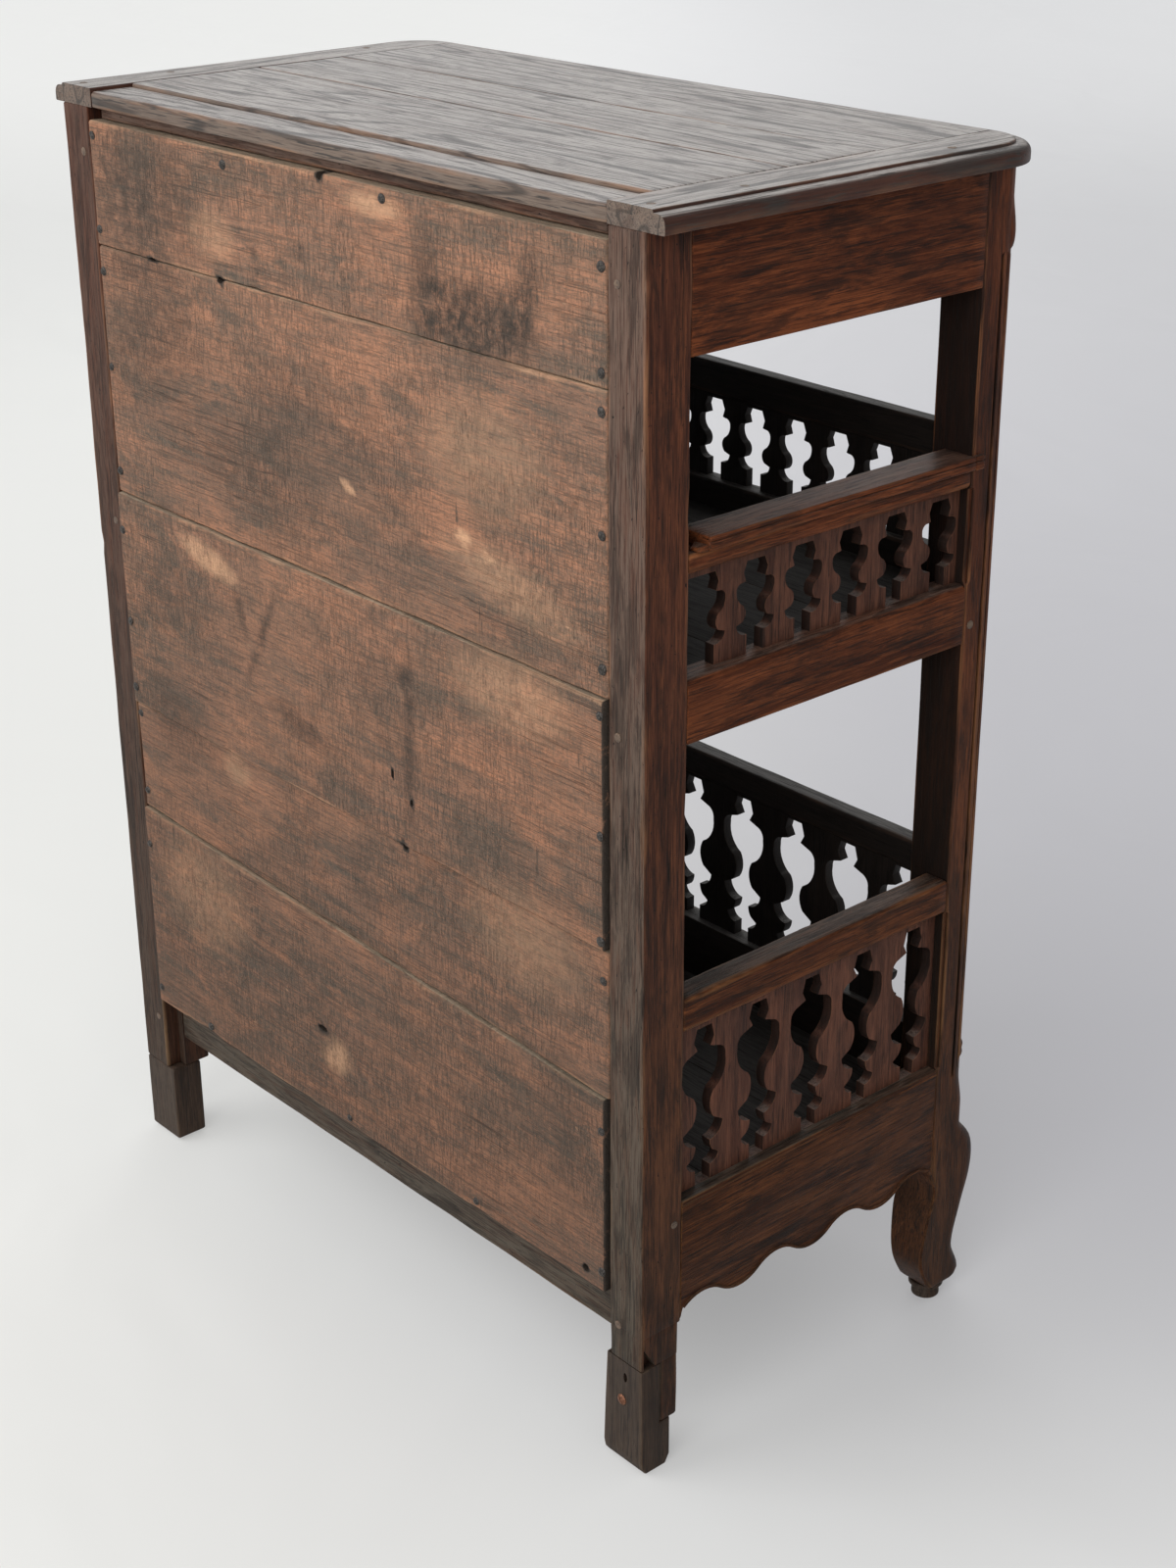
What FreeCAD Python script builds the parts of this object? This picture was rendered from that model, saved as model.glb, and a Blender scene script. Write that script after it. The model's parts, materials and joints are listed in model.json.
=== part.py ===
import FreeCAD, Part
import math
import os
from types import SimpleNamespace

import Sketcher

# A free-standing oak dresser: four posts, two shelves behind pierced galleries, a plank back
# and a moulded top. Millimetres, +Z up, front towards -Y, origin on the floor under the middle
# of the overall box. The left side carries the wear: a lost half splat, a broken cap, a spliced foot.

# Driving sizes in millimetres; the names that end in count are whole numbers
SIZES = {
    # carcass
    "post_height": 1083,
    "carcass_width": 780,
    "carcass_depth": 412,
    "rear_post_width": 50,
    "front_post_width": 45,
    "post_depth": 45,
    "corner_round": 14,
    # top
    "top_thick": 17,
    "left_overhang": 19,
    "right_overhang": 11,
    "front_overhang": 16,
    "top_corner_round": 55,
    "edge_round": 7.5,
    "edge_step": 2.5,
    "edge_inset": 12.5,
    "clamp_wide": 60,
    "strip_wide": 43,
    "strip_lower": 3,
    "rear_plank_wide": 139,
    "middle_plank_wide": 97,
    "tongue_long": 40,
    "tongue_thick": 7,
    "tongue_margin": 26,
    # levels, each counted from the one below
    "apron_level": 155,
    "apron_high": 109,
    "lower_panel_high": 163,
    "lower_rail_high": 31,
    "lower_bay_open": 224,
    "shelf_rail_high": 53,
    "upper_panel_high": 85,
    "upper_rail_high": 16,
    "cap_thick": 12,
    "frieze_high": 96.5,
    # the front stands a little higher than the sides
    "front_lower_sill_rise": 15.5,
    "front_lower_rail_rise": 10,
    "front_lower_rail_high": 28,
    "front_upper_sill_rise": 11,
    "front_upper_rail_rise": 6,
    "front_upper_rail_high": 31,
    # side pieces
    "side_rail_thick": 25,
    "panel_recess": 12,
    "panel_thick": 10,
    "rail_ovolo": 6.5,
    "cap_proud": 5,
    "cap_wide": 30,
    "cap_lap": 10,
    "cap_break": 17,
    # front and rear pieces
    "front_upper_thick": 15,
    "front_shelf_thick": 20,
    "front_lower_thick": 18,
    "front_apron_thick": 22,
    "front_frieze_thick": 25,
    "front_panel_thick": 8,
    "rear_rail_thick": 22,
    "rear_top_rail_high": 63,
    "rear_shelf_rail_high": 20,
    "rear_bottom_rail_high": 76,
    # pierced gaps
    "side_upper_gap_count": 6,
    "side_lower_gap_count": 5,
    "front_upper_gap_count": 13,
    "front_lower_gap_count": 10,
    "side_upper_headroom": 8.3,
    "side_lower_headroom": 12,
    "front_upper_headroom": 4.3,
    "front_lower_headroom": 5,
    "side_gap_shift": 3,
    "front_upper_margin": 7,
    # shelves
    "shelf_thick": 18,
    "upper_shelf_drop": 15,
    "lower_shelf_drop": 47,
    "bearer_wide": 20,
    "bearer_high": 20,
    # back boards
    "board_thick": 16,
    "board_proud": 3,
    "rebate_wide": 9.5,
    "board_gap": 0.6,
    "board_top_drop": 11,
    "board_bottom": 171,
    "nail_inset": 6,
    "nail_head_high": 2,
    "nail_head_radius": 4,
    "nail_shank_radius": 1.4,
    "nail_long": 32,
    # joints
    "tenon_thick": 9,
    "tenon_long": 26,
    "tenon_shoulder": 3,
    "groove_deep": 5,
    "fit_gap": 0.2,
    "round_gap": 0.3,
    "tool_reach": 1,
    "peg_radius": 4,
    "peg_long": 34,
    "side_peg_long": 20,
    "top_peg_long": 16,
    # cabriole leg and feet
    "leg_top": 190,
    "knee_reach": 22,
    "toe_level": 17,
    "bead_round": 21,
    "quirk_deep": 4.5,
    "quirk_wide": 3,
    "quirk_from_corner": 12,
    "quirk_start": 250,
    "quirk_end_drop": 73,
    "foot_radius": 16.5,
    "foot_dowel_radius": 6,
    "foot_dowel_long": 15,
    "foot_from_side": 17.8,
    "foot_from_front": 22,
    "splice_low": 48,
    "splice_high": 111,
    "splice_thick": 22,
    "rear_foot_wide": 50,
    "rear_foot_deep": 37,
    "chip_high": 23,
    "chip_long": 15,
    "chip_deep": 8,
    "chip_skin": 2,
    "right_foot_high": 88,
    "glide_high": 3,
    "glide_radius": 14,
    "screw_head_radius": 4,
    "screw_head_high": 1.5,
    "screw_shank_radius": 2,
    "screw_long": 32,
    "screw_slot_wide": 1.2,
}

# Half outlines of the pierced gaps from sill to head: share of the half width, share of the height,
# and the bow of the stretch that follows, as rise over chord, positive where it swells outwards
UPPER_GAP = [
    (0.44, 0.00, 0), (0.44, 0.215, 0.207), (0.995, 0.332, 0), (0.66, 0.36, -0.236), (0.66, 0.54, 0.149),
    (1.00, 0.704, 0.228), (0.683, 0.78, 0), (0.517, 0.79, 0), (0.634, 0.887, 0), (0.463, 1.00, 0),
]
LOWER_GAP = [
    (0.342, 0.00, 0), (0.342, 0.093, 0.196), (0.741, 0.152, 0), (0.475, 0.18, -0.09), (0.335, 0.252, 0.194),
    (0.928, 0.351, 0), (0.494, 0.394, -0.151), (0.456, 0.57, 0.163), (1.00, 0.762, 0.199),
    (0.684, 0.841, 0), (0.297, 0.864, 0), (0.464, 0.92, 0), (0.331, 1.00, 0),
]
GAP_SHARE = 0.39            # half width of a gap as a share of the pitch
QUARTER_BOW = 0.2071        # rise over chord of a quarter circle
SCALLOP_BOW = 0.17          # rise over chord of each apron scallop
SIDE_SCALLOPS = 7
FRONT_SCALLOPS = 15

# Cabriole leg from knee to toe: share of the height between leg top and toe, reach in front of the
# post and offset of the rear edge as shares of the knee reach, narrowing of the inner face
LEG_SECTIONS = [
    (1.00, 0.00, 0.00, 0.00),
    (0.88, 0.78, 0.00, 0.00),
    (0.77, 1.00, 0.00, 0.00),
    (0.64, 0.91, -0.25, 0.00),
    (0.47, 0.45, 0.09, 0.05),
    (0.22, -0.02, 0.39, 0.36),
    (0.045, 0.50, -0.14, 0.45),
    (0.00, 0.27, -0.45, 0.59),
]

KNEE_SHARE = 0.8            # share of the leg's height down to which the straight post runs inside the knee

# Seams of the back boards from the top down, as shares of the height from board bottom to board
# top, at the left and the right end, and which boards stand proud
SEAMS = [(0.878, 0.875), (0.608, 0.614), (0.366, 0.374), (0.213, 0.248)]
PROUD_BOARDS = (2, 4)
# Nails of each board as shares of its own height: left column, right column, then those between
# the posts as pairs of shares of the carcass width and of the board's height
NAILS = [
    ((0.82, 0.11), (0.88, 0.13), ((0.39, 0.92), (0.673, 0.89))),
    ((0.93, 0.54, 0.10), (0.90, 0.52, 0.09), ()),
    ((0.94, 0.47, 0.04), (0.83, 0.40, 0.08), ()),
    ((0.80,), (0.90, 0.16), ()),
    ((0.84, 0.11), (0.82, 0.08), ((0.278, 0.045), (0.522, 0.045), (0.824, 0.045))),
]
SIDES = ("left", "right")


class Size:
    """A length held as a number and as the sheet expression that gives the same number."""

    def __init__(self, number, text):
        self.number = number
        self.text = text

    def mixed(self, other, sign, number):
        return Size(number, "(%s %s %s)" % (self.text, sign, as_size(other).text))

    def __add__(self, other):
        return self.mixed(other, "+", self.number + as_size(other).number)

    def __sub__(self, other):
        return self.mixed(other, "-", self.number - as_size(other).number)

    def __mul__(self, other):
        return self.mixed(other, "*", self.number * as_size(other).number)

    def __truediv__(self, other):
        return self.mixed(other, "/", self.number / as_size(other).number)

    def __neg__(self):
        return as_size(0) - self


def as_size(value):
    if isinstance(value, Size):
        return value
    return Size(float(value), "(%r)" % value)


def diagonal(across, along):
    return Size(math.hypot(across.number, along.number), "hypot(%s; %s)" % (across.text, along.text))


document = FreeCAD.newDocument("dresser")
sheet = document.addObject("Spreadsheet::Sheet", "sizes")
for row, (alias, value) in enumerate(SIZES.items(), 1):
    sheet.set("A%d" % row, alias)
    sheet.set("B%d" % row, str(value))
    sheet.setAlias("B%d" % row, alias)
document.recompute()
s = SimpleNamespace(**{alias: Size(value, "sizes." + alias) for alias, value in SIZES.items()})

# Main faces and levels
left_face = (s.left_overhang - s.right_overhang - s.carcass_width) / 2
right_face = left_face + s.carcass_width
middle = (left_face + right_face) / 2
nail_stand = s.board_proud + s.nail_head_high
back_face = (s.carcass_depth + s.knee_reach - nail_stand) / 2
front_face = back_face - s.carcass_depth
rear_post_front = back_face - s.post_depth
front_post_back = front_face + s.post_depth
board_face = back_face - s.board_thick
lower_sill = s.apron_level + s.apron_high
lower_rail_bottom = lower_sill + s.lower_panel_high
lower_rail_top = lower_rail_bottom + s.lower_rail_high
shelf_rail_bottom = lower_rail_top + s.lower_bay_open
upper_sill = shelf_rail_bottom + s.shelf_rail_high
upper_rail_bottom = upper_sill + s.upper_panel_high
cap_bottom = upper_rail_bottom + s.upper_rail_high
frieze_bottom = s.post_height - s.frieze_high
upper_shelf_top = upper_sill - s.upper_shelf_drop
lower_shelf_top = lower_sill - s.lower_shelf_drop
scallop_end = s.apron_level - s.rail_ovolo * 1.4
nodes = {}


# Helpers

def keep(name, piece):
    piece.Label = name
    nodes[name] = piece
    return piece


def bind(thing, prop, value):
    thing.setExpression(prop, as_size(value).text)


def across(side, near, far):
    """X range between two distances from a side's outer face, measured inwards."""
    if side == "left":
        return left_face + near, left_face + far
    return right_face - far, right_face - near


def box(name, low, high):
    block = document.addObject("Part::Box", name)
    for prop, letter, start, end in zip(("Length", "Width", "Height"), "xyz", low, high):
        bind(block, prop, as_size(end) - start)
        bind(block, "Placement.Base." + letter, start)
    return block


def grown(name, low, high, gap):
    return box(name, [as_size(v) - gap for v in low], [as_size(v) + gap for v in high])


TURNS = {
    "+x": FreeCAD.Rotation(FreeCAD.Vector(0, 1, 0), 90),
    "-x": FreeCAD.Rotation(FreeCAD.Vector(0, 1, 0), -90),
    "-y": FreeCAD.Rotation(FreeCAD.Vector(1, 0, 0), 90),
    "+z": FreeCAD.Rotation(),
    "-z": FreeCAD.Rotation(FreeCAD.Vector(1, 0, 0), 180),
}


def placed(thing, start, heading):
    thing.Placement = FreeCAD.Placement(FreeCAD.Vector(), TURNS[heading])
    for letter, value in zip("xyz", start):
        bind(thing, "Placement.Base." + letter, value)
    return thing


def rod(name, start, heading, radius, length):
    cylinder = document.addObject("Part::Cylinder", name)
    bind(cylinder, "Radius", radius)
    bind(cylinder, "Height", length)
    return placed(cylinder, start, heading)


def fuse(name, pieces):
    joined = document.addObject("Part::MultiFuse", name)
    joined.Shapes = pieces
    joined.Refine = True
    return joined


def cut(name, base, tools):
    trimmed = document.addObject("Part::Cut", name)
    trimmed.Base = base
    trimmed.Tool = tools[0] if len(tools) == 1 else fuse(name + "_tools", tools)
    return trimmed


def common(name, base, tool):
    shared = document.addObject("Part::Common", name)
    shared.Base = base
    shared.Tool = tool
    return shared


def mirrored(name, source):
    other = document.addObject("Part::Mirroring", name)
    other.Source = source
    other.Normal = FreeCAD.Vector(1, 0, 0)
    other.Base = FreeCAD.Vector(middle.number, 0, 0)
    bind(other, "Base.x", middle)
    return other


def group(name, pieces):
    together = document.addObject("Part::Compound", name)
    together.Links = pieces
    return keep(name, together)


PLANES = {"floor": "XY_Plane", "front": "XZ_Plane", "side": "YZ_Plane"}


def arc_through(start, end, bow):
    """The arc from start to end whose rise over chord is bow, turning left where bow is positive."""
    chord = end - start
    rise = abs(bow) * chord.Length
    radius = chord.Length * (1 / (8 * abs(bow)) + abs(bow) / 2)
    left = FreeCAD.Vector(-chord.y, chord.x, 0).normalize() * math.copysign(1, bow)
    centre = (start + end) * 0.5 + left * (radius - rise)
    first, last = (start, end) if bow > 0 else (end, start)
    angles = [math.atan2(point.y - centre.y, point.x - centre.x) for point in (first, last)]
    if angles[1] < angles[0]:
        angles[1] += 2 * math.pi
    return Part.ArcOfCircle(Part.Circle(centre, FreeCAD.Vector(0, 0, 1), radius), *angles)


def outline(body, plane, offset, points, shift=0):
    """A closed, fully bound sketch; points are (across, up) or (across, up, bow to the next point)."""
    sketch = body.newObject("Sketcher::SketchObject", body.Name + "_outline")
    support = [f for f in body.Origin.OriginFeatures if f.Role == PLANES[plane]][0]
    sketch.AttachmentSupport = [(support, "")]
    sketch.MapMode = "FlatFace"
    bind(sketch, "AttachmentOffset.Base.x", shift)
    bind(sketch, "AttachmentOffset.Base.z", offset)
    corners = [(as_size(p[0]), as_size(p[1]), p[2] if len(p) > 2 else 0) for p in points]
    spots = [FreeCAD.Vector(a.number, b.number, 0) for a, b, bow in corners]
    total = len(corners)
    ends = []
    for i, (a, b, bow) in enumerate(corners):
        start, end = spots[i], spots[(i + 1) % total]
        curve = arc_through(start, end, bow) if bow else Part.LineSegment(start, end)
        sketch.addGeometry(curve, False)
        ends.append((2, 1) if bow < 0 else (1, 2))
    for i in range(total):
        after = (i + 1) % total
        sketch.addConstraint(Sketcher.Constraint("Coincident", i, ends[i][1], after, ends[after][0]))
    for i, (a, b, bow) in enumerate(corners):
        for kind, value in (("DistanceX", a), ("DistanceY", b)):
            rule = sketch.addConstraint(Sketcher.Constraint(kind, -1, 1, i, ends[i][0], value.number))
            sketch.setExpression("Constraints[%d]" % rule, value.text)
        if bow:
            over = corners[(i + 1) % total]
            radius = diagonal(over[0] - a, over[1] - b) * (1 / (8 * abs(bow)) + abs(bow) / 2)
            rule = sketch.addConstraint(Sketcher.Constraint("Radius", i, radius.number))
            sketch.setExpression("Constraints[%d]" % rule, radius.text)
    return sketch


def pad(body, sketch, length):
    feature = body.newObject("PartDesign::Pad", body.Name + "_pad")
    feature.Profile = sketch
    bind(feature, "Length", length)
    return feature


def prism(name, plane, low, high, points):
    """A body with one outline, drawn on a plane and padded from low to high along its normal."""
    body = document.addObject("PartDesign::Body", name)
    offset = -high if plane == "front" else low
    pad(body, outline(body, plane, offset, points), high - low)
    return body


def turned(name, centre, points):
    """A body of revolution about the vertical line through centre; points are (radius, level)."""
    body = document.addObject("PartDesign::Body", name)
    sketch = outline(body, "front", -centre[1], points, shift=centre[0])
    spin = body.newObject("PartDesign::Revolution", name + "_turning")
    spin.Profile = sketch
    spin.ReferenceAxis = (sketch, ["V_Axis"])
    spin.Angle = 360
    return body


# Rails: a blank with a tenon through it, and one mortise tool that serves the posts at both ends

mortises = []


def tenoned(name, blank, axis, low, high, cuts=()):
    """Joins a tenon to a rail blank, records its mortise, then makes the cuts."""
    thick = 1 - axis
    spare = (high[thick] - low[thick] - s.tenon_thick) / 2
    start, end = list(low), list(high)
    start[axis], end[axis] = low[axis] - s.tenon_long, high[axis] + s.tenon_long
    start[thick], end[thick] = low[thick] + spare, high[thick] - spare
    start[2], end[2] = low[2] + s.tenon_shoulder, high[2] - s.tenon_shoulder
    tenon = box(name + "_tenon", start, end)
    mortises.append(grown(name + "_mortise", start, end, s.fit_gap))
    cuts = list(cuts)
    if not cuts:
        return keep(name, fuse(name, [blank, tenon]))
    return keep(name, cut(name, fuse(name + "_joined", [blank, tenon]), cuts))


def side_span(bottom, top):
    x_low, x_high = across("left", 0, s.side_rail_thick)
    return (x_low, front_post_back, bottom), (x_high, rear_post_front, top)


def front_span(thick, bottom, top):
    x_low, x_high = left_face + s.front_post_width, right_face - s.front_post_width
    return (x_low, front_face, bottom), (x_high, front_face + thick, top)


def rear_span(bottom, top):
    x_low, x_high = left_face + s.rear_post_width, right_face - s.rear_post_width
    return (x_low, board_face - s.rear_rail_thick, bottom), (x_high, board_face, top)


def side_groove(name, level, up):
    """Groove for a side panel: into a rail from its sill downwards, or from its underside upwards."""
    x_low, x_high = across("left", s.panel_recess, s.panel_recess + s.panel_thick)
    z_low, z_high = (level, level + s.groove_deep) if up else (level - s.groove_deep, level)
    return grown(name, (x_low, front_post_back, z_low), (x_high, rear_post_front, z_high), s.fit_gap)


def front_groove(name, rail_thick, panel_thick, level, up):
    y_low = front_face + (rail_thick - panel_thick) / 2
    z_low, z_high = (level, level + s.groove_deep) if up else (level - s.groove_deep, level)
    low = (left_face + s.front_post_width, y_low, z_low)
    high = (right_face - s.front_post_width, y_low + panel_thick, z_high)
    return grown(name, low, high, s.fit_gap)


def scalloped(name, plane, low, high, start, end, top, count):
    """An apron blank whose lower edge waves in equal arcs, arches first and last."""
    shoulder = s.rail_ovolo / 2
    chord = (end - start - shoulder * 2) / count
    points = [(start, scallop_end)]
    for i in range(count):
        bow = -SCALLOP_BOW if i % 2 == 0 else SCALLOP_BOW
        points.append((start + shoulder + chord * i, s.apron_level, bow))
    points += [(end - shoulder, s.apron_level), (end, scallop_end), (end, top), (start, top)]
    return prism(name, plane, low, high, points)


def pierced(name, plane, low, high, start, end, sill, head, shape, count, gap_high, margins):
    """A flat panel, tongued below sill and above head, with a row of shaped gaps down to the sill.

    The margins are the plain widths left beyond the first and the last gap's share of the row.
    """
    bottom, top = sill - s.groove_deep, head + s.groove_deep
    body = prism(name, plane, low, high, [(start, bottom), (end, bottom), (end, top), (start, top)])
    pitch = (end - start - margins[0] - margins[1]) / count
    half = pitch * GAP_SHARE
    first = start + margins[0] + pitch / 2
    rising = [(first + half * wide, sill + gap_high * up, bow) for wide, up, bow in shape]
    bows = [bow for wide, up, bow in shape]
    falling = [
        (first - half * wide, sill + gap_high * up, bows[i - 1] if i else 0)
        for i, (wide, up, bow) in reversed(list(enumerate(shape)))
    ]
    sketch = outline(body, plane, -high if plane == "front" else low, rising + falling)
    gap = body.newObject("PartDesign::Pocket", name + "_gap")
    gap.Profile = sketch
    gap.Type = "ThroughAll"
    gap.Reversed = True
    row_of_gaps = body.newObject("PartDesign::LinearPattern", name + "_row")
    row_of_gaps.Originals = [gap]
    row_of_gaps.Direction = (sketch, ["H_Axis"])
    bind(row_of_gaps, "Length", pitch * (count - 1))
    bind(row_of_gaps, "Occurrences", count)
    body.Tip = row_of_gaps
    return body


# Left side rails, panels and apron; the right side mirrors them

def side_assembly():
    low, high = side_span(frieze_bottom, s.post_height)
    tenoned("left_frieze_rail", box("left_frieze_blank", low, high), 1, low, high)

    low, high = side_span(upper_rail_bottom, cap_bottom)
    groove = side_groove("upper_head_groove", upper_rail_bottom, True)
    tenoned("left_upper_gallery_rail", box("left_upper_blank", low, high), 1, low, high, [groove])

    low, high = side_span(shelf_rail_bottom, upper_sill)
    round_off = s.rail_ovolo
    profile = [
        (low[0], low[2]), (high[0], low[2]), (high[0], high[2]),
        (low[0] + round_off, high[2], QUARTER_BOW), (low[0], high[2] - round_off),
    ]
    groove = side_groove("upper_sill_groove", upper_sill, False)
    peg_hole = shelf_peg("left", s.peg_radius + s.round_gap, "shelf_rail_peg_hole")
    blank = prism("left_shelf_blank", "front", low[1], high[1], profile)
    tenoned("left_shelf_rail", blank, 1, low, high, [groove, peg_hole])

    low, high = side_span(lower_rail_bottom, lower_rail_top)
    groove = side_groove("lower_head_groove", lower_rail_bottom, True)
    tenoned("left_lower_gallery_rail", box("left_lower_blank", low, high), 1, low, high, [groove])

    low, high = side_span(s.apron_level + s.rail_ovolo * 2, lower_sill)
    blank = scalloped(
        "left_apron_blank", "side", low[0], high[0], low[1], high[1], lower_sill, SIDE_SCALLOPS)
    groove = side_groove("lower_sill_groove", lower_sill, False)
    peg_hole = apron_peg("left", s.peg_radius + s.round_gap, "apron_peg_hole")
    tenoned("left_apron", blank, 1, low, high, [groove, peg_hole])

    x_low, x_high = across("left", s.panel_recess, s.panel_recess + s.panel_thick)
    whole = pierced(
        "upper_side_panel", "side", x_low, x_high, front_post_back, rear_post_front, upper_sill,
        upper_rail_bottom, UPPER_GAP, s.side_upper_gap_count, s.upper_panel_high - s.side_upper_headroom,
        (-s.side_gap_shift, s.side_gap_shift))
    keep("right_upper_gallery_panel", mirrored("right_upper_gallery_panel", whole))
    half_pitch = (rear_post_front - front_post_back) / s.side_upper_gap_count / 2
    gap_centre = rear_post_front - half_pitch - s.side_gap_shift
    gap_top = upper_rail_bottom - s.side_upper_headroom
    lost = box(
        "lost_half_splat", (x_low - s.tool_reach, gap_centre, upper_sill),
        (x_high + s.tool_reach, rear_post_front + s.tool_reach, gap_top))
    keep("left_upper_gallery_panel", cut("left_upper_gallery_panel", whole, [lost]))
    keep("left_lower_gallery_panel", pierced(
        "left_lower_gallery_panel", "side", x_low, x_high, front_post_back, rear_post_front, lower_sill,
        lower_rail_bottom, LOWER_GAP, s.side_lower_gap_count, s.lower_panel_high - s.side_lower_headroom,
        (-s.side_gap_shift, s.side_gap_shift)))

    for level, where in ((upper_shelf_top, "upper"), (lower_shelf_top, "lower")):
        name = "left_%s_shelf_bearer" % where
        inner = s.side_rail_thick + s.bearer_wide
        top = level - s.shelf_thick
        keep(name, box(
            name, (left_face + s.side_rail_thick, front_post_back, top - s.bearer_high),
            (left_face + inner, rear_post_front, top)))

    for part in ("frieze_rail", "upper_gallery_rail", "shelf_rail", "lower_gallery_rail", "apron",
                 "lower_gallery_panel", "upper_shelf_bearer", "lower_shelf_bearer"):
        keep("right_" + part, mirrored("right_" + part, nodes["left_" + part]))


def gallery_cap(name, rear_gap):
    """Nosed cap on a side gallery; its proud edge laps the front post, and the rear may be broken off."""
    outer, inner = across("left", -s.cap_proud, s.cap_wide)
    top = cap_bottom + s.cap_thick
    nose = s.cap_proud / 2
    profile = [
        (inner, cap_bottom), (inner, top), (outer + nose, top, QUARTER_BOW), (outer, top - nose),
        (outer, cap_bottom + nose, QUARTER_BOW), (outer + nose, cap_bottom),
    ]
    body = prism(name + "_strip", "front", front_post_back - s.cap_lap, rear_post_front - rear_gap, profile)
    clear = box(
        name + "_lap", (left_face, front_post_back - s.cap_lap - s.tool_reach, cap_bottom - s.tool_reach),
        (inner + s.tool_reach, front_post_back, top + s.tool_reach))
    return cut(name, body, [clear])


# Front rails, panels and apron

def front_assembly():
    low, high = front_span(s.front_frieze_thick, frieze_bottom, s.post_height)
    tenoned("front_frieze_rail", box("front_frieze_blank", low, high), 0, low, high)

    upper_head = upper_rail_bottom + s.front_upper_rail_rise
    low, high = front_span(s.front_upper_thick, upper_head, upper_head + s.front_upper_rail_high)
    groove = front_groove(
        "front_upper_head_groove", s.front_upper_thick, s.front_panel_thick, upper_head, True)
    tenoned("front_upper_gallery_rail", box("front_upper_blank", low, high), 0, low, high, [groove])

    sill = upper_sill + s.front_upper_sill_rise
    low, high = front_span(s.front_shelf_thick, shelf_rail_bottom, sill)
    groove = front_groove("front_upper_sill_groove", s.front_upper_thick, s.front_panel_thick, sill, False)
    tenoned("front_shelf_rail", box("front_shelf_blank", low, high), 0, low, high, [groove])
    front_panel(
        "front_upper_gallery_panel", s.front_upper_thick, s.front_panel_thick, sill, upper_head, UPPER_GAP,
        s.front_upper_gap_count, s.front_upper_headroom, s.front_upper_margin)

    lower_head = lower_rail_bottom + s.front_lower_rail_rise
    low, high = front_span(s.front_lower_thick, lower_head, lower_head + s.front_lower_rail_high)
    groove = front_groove("front_lower_head_groove", s.front_lower_thick, s.panel_thick, lower_head, True)
    tenoned("front_lower_gallery_rail", box("front_lower_blank", low, high), 0, low, high, [groove])

    sill = lower_sill + s.front_lower_sill_rise
    low, high = front_span(s.front_apron_thick, s.apron_level + s.rail_ovolo * 2, sill)
    blank = scalloped("front_apron_blank", "front", low[1], high[1], low[0], high[0], sill, FRONT_SCALLOPS)
    groove = front_groove("front_lower_sill_groove", s.front_lower_thick, s.panel_thick, sill, False)
    tenoned("front_apron", blank, 0, low, high, [groove])
    front_panel(
        "front_lower_gallery_panel", s.front_lower_thick, s.panel_thick, sill, lower_head, LOWER_GAP,
        s.front_lower_gap_count, s.front_lower_headroom, as_size(0))


def front_panel(name, rail_thick, panel_thick, sill, head, shape, count, headroom, margin):
    y_low = front_face + (rail_thick - panel_thick) / 2
    start, end = left_face + s.front_post_width, right_face - s.front_post_width
    keep(name, pierced(
        name, "front", y_low, y_low + panel_thick, start, end, sill, head, shape, count,
        head - sill - headroom, (margin, margin)))


# Pegs, nails and rear rails

def shelf_peg(side, radius, name):
    """Peg through the shelf rail's front tenon, driven in from the side."""
    start = left_face if side == "left" else right_face
    spot = (start, front_post_back - s.tenon_long / 3, shelf_rail_bottom + s.shelf_rail_high * 0.3)
    return rod(name, spot, "+x" if side == "left" else "-x", radius, s.side_peg_long)


def apron_peg(side, radius, name):
    """Peg through the apron's rear tenon, driven in from the side."""
    start = left_face if side == "left" else right_face
    spot = (start, rear_post_front + s.tenon_long / 3, lower_sill - s.apron_high / 6)
    return rod(name, spot, "+x" if side == "left" else "-x", radius, s.side_peg_long)


def back_pegs(side, radius, name):
    """Three pegs through the tenons of the rear rails, driven in from the back of the post."""
    inwards = s.rear_post_width - s.tenon_long * 0.77
    start = across(side, inwards, inwards)[0]
    shelf_middle = upper_shelf_top - s.shelf_thick - s.rear_shelf_rail_high / 2
    bottom_spot = lower_shelf_top - s.shelf_thick - s.rear_bottom_rail_high * 0.7
    levels = (s.post_height - s.rear_top_rail_high * 0.65, shelf_middle, bottom_spot)
    return [
        rod("%s_%d" % (name, i), (start, back_face, level), "-y", radius, s.peg_long)
        for i, level in enumerate(levels)
    ]


def board_corners(index):
    """Levels of one board's lower left, lower right, upper right and upper left corners."""
    top = s.post_height - s.board_top_drop
    height = top - s.board_bottom
    ends = [(1.0, 1.0)] + SEAMS + [(0.0, 0.0)]
    upper = [s.board_bottom + height * share for share in ends[index]]
    lower = [s.board_bottom + height * share for share in ends[index + 1]]
    slack = s.board_gap / 2
    return lower[0] + slack, lower[1] + slack, upper[1] - slack, upper[0] - slack


def board_ends():
    inset = s.rear_post_width - s.rebate_wide + s.board_gap
    return left_face + inset, right_face - inset


def nail_spots():
    """Every nail as its X, the Y of the board face it sits on, and its level."""
    x_left, x_right = board_ends()
    spots = []
    for index, (left_shares, right_shares, between) in enumerate(NAILS):
        low_left, low_right, high_right, high_left = board_corners(index)
        face = back_face + s.board_proud if index in PROUD_BOARDS else back_face
        for share in left_shares:
            spots.append((x_left + s.nail_inset, face, low_left + (high_left - low_left) * share))
        for share in right_shares:
            spots.append((x_right - s.nail_inset, face, low_right + (high_right - low_right) * share))
        for along, share in between:
            level = low_left + (high_left - low_left) * share
            spots.append((left_face + s.carcass_width * along, face, level))
    return spots


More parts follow.
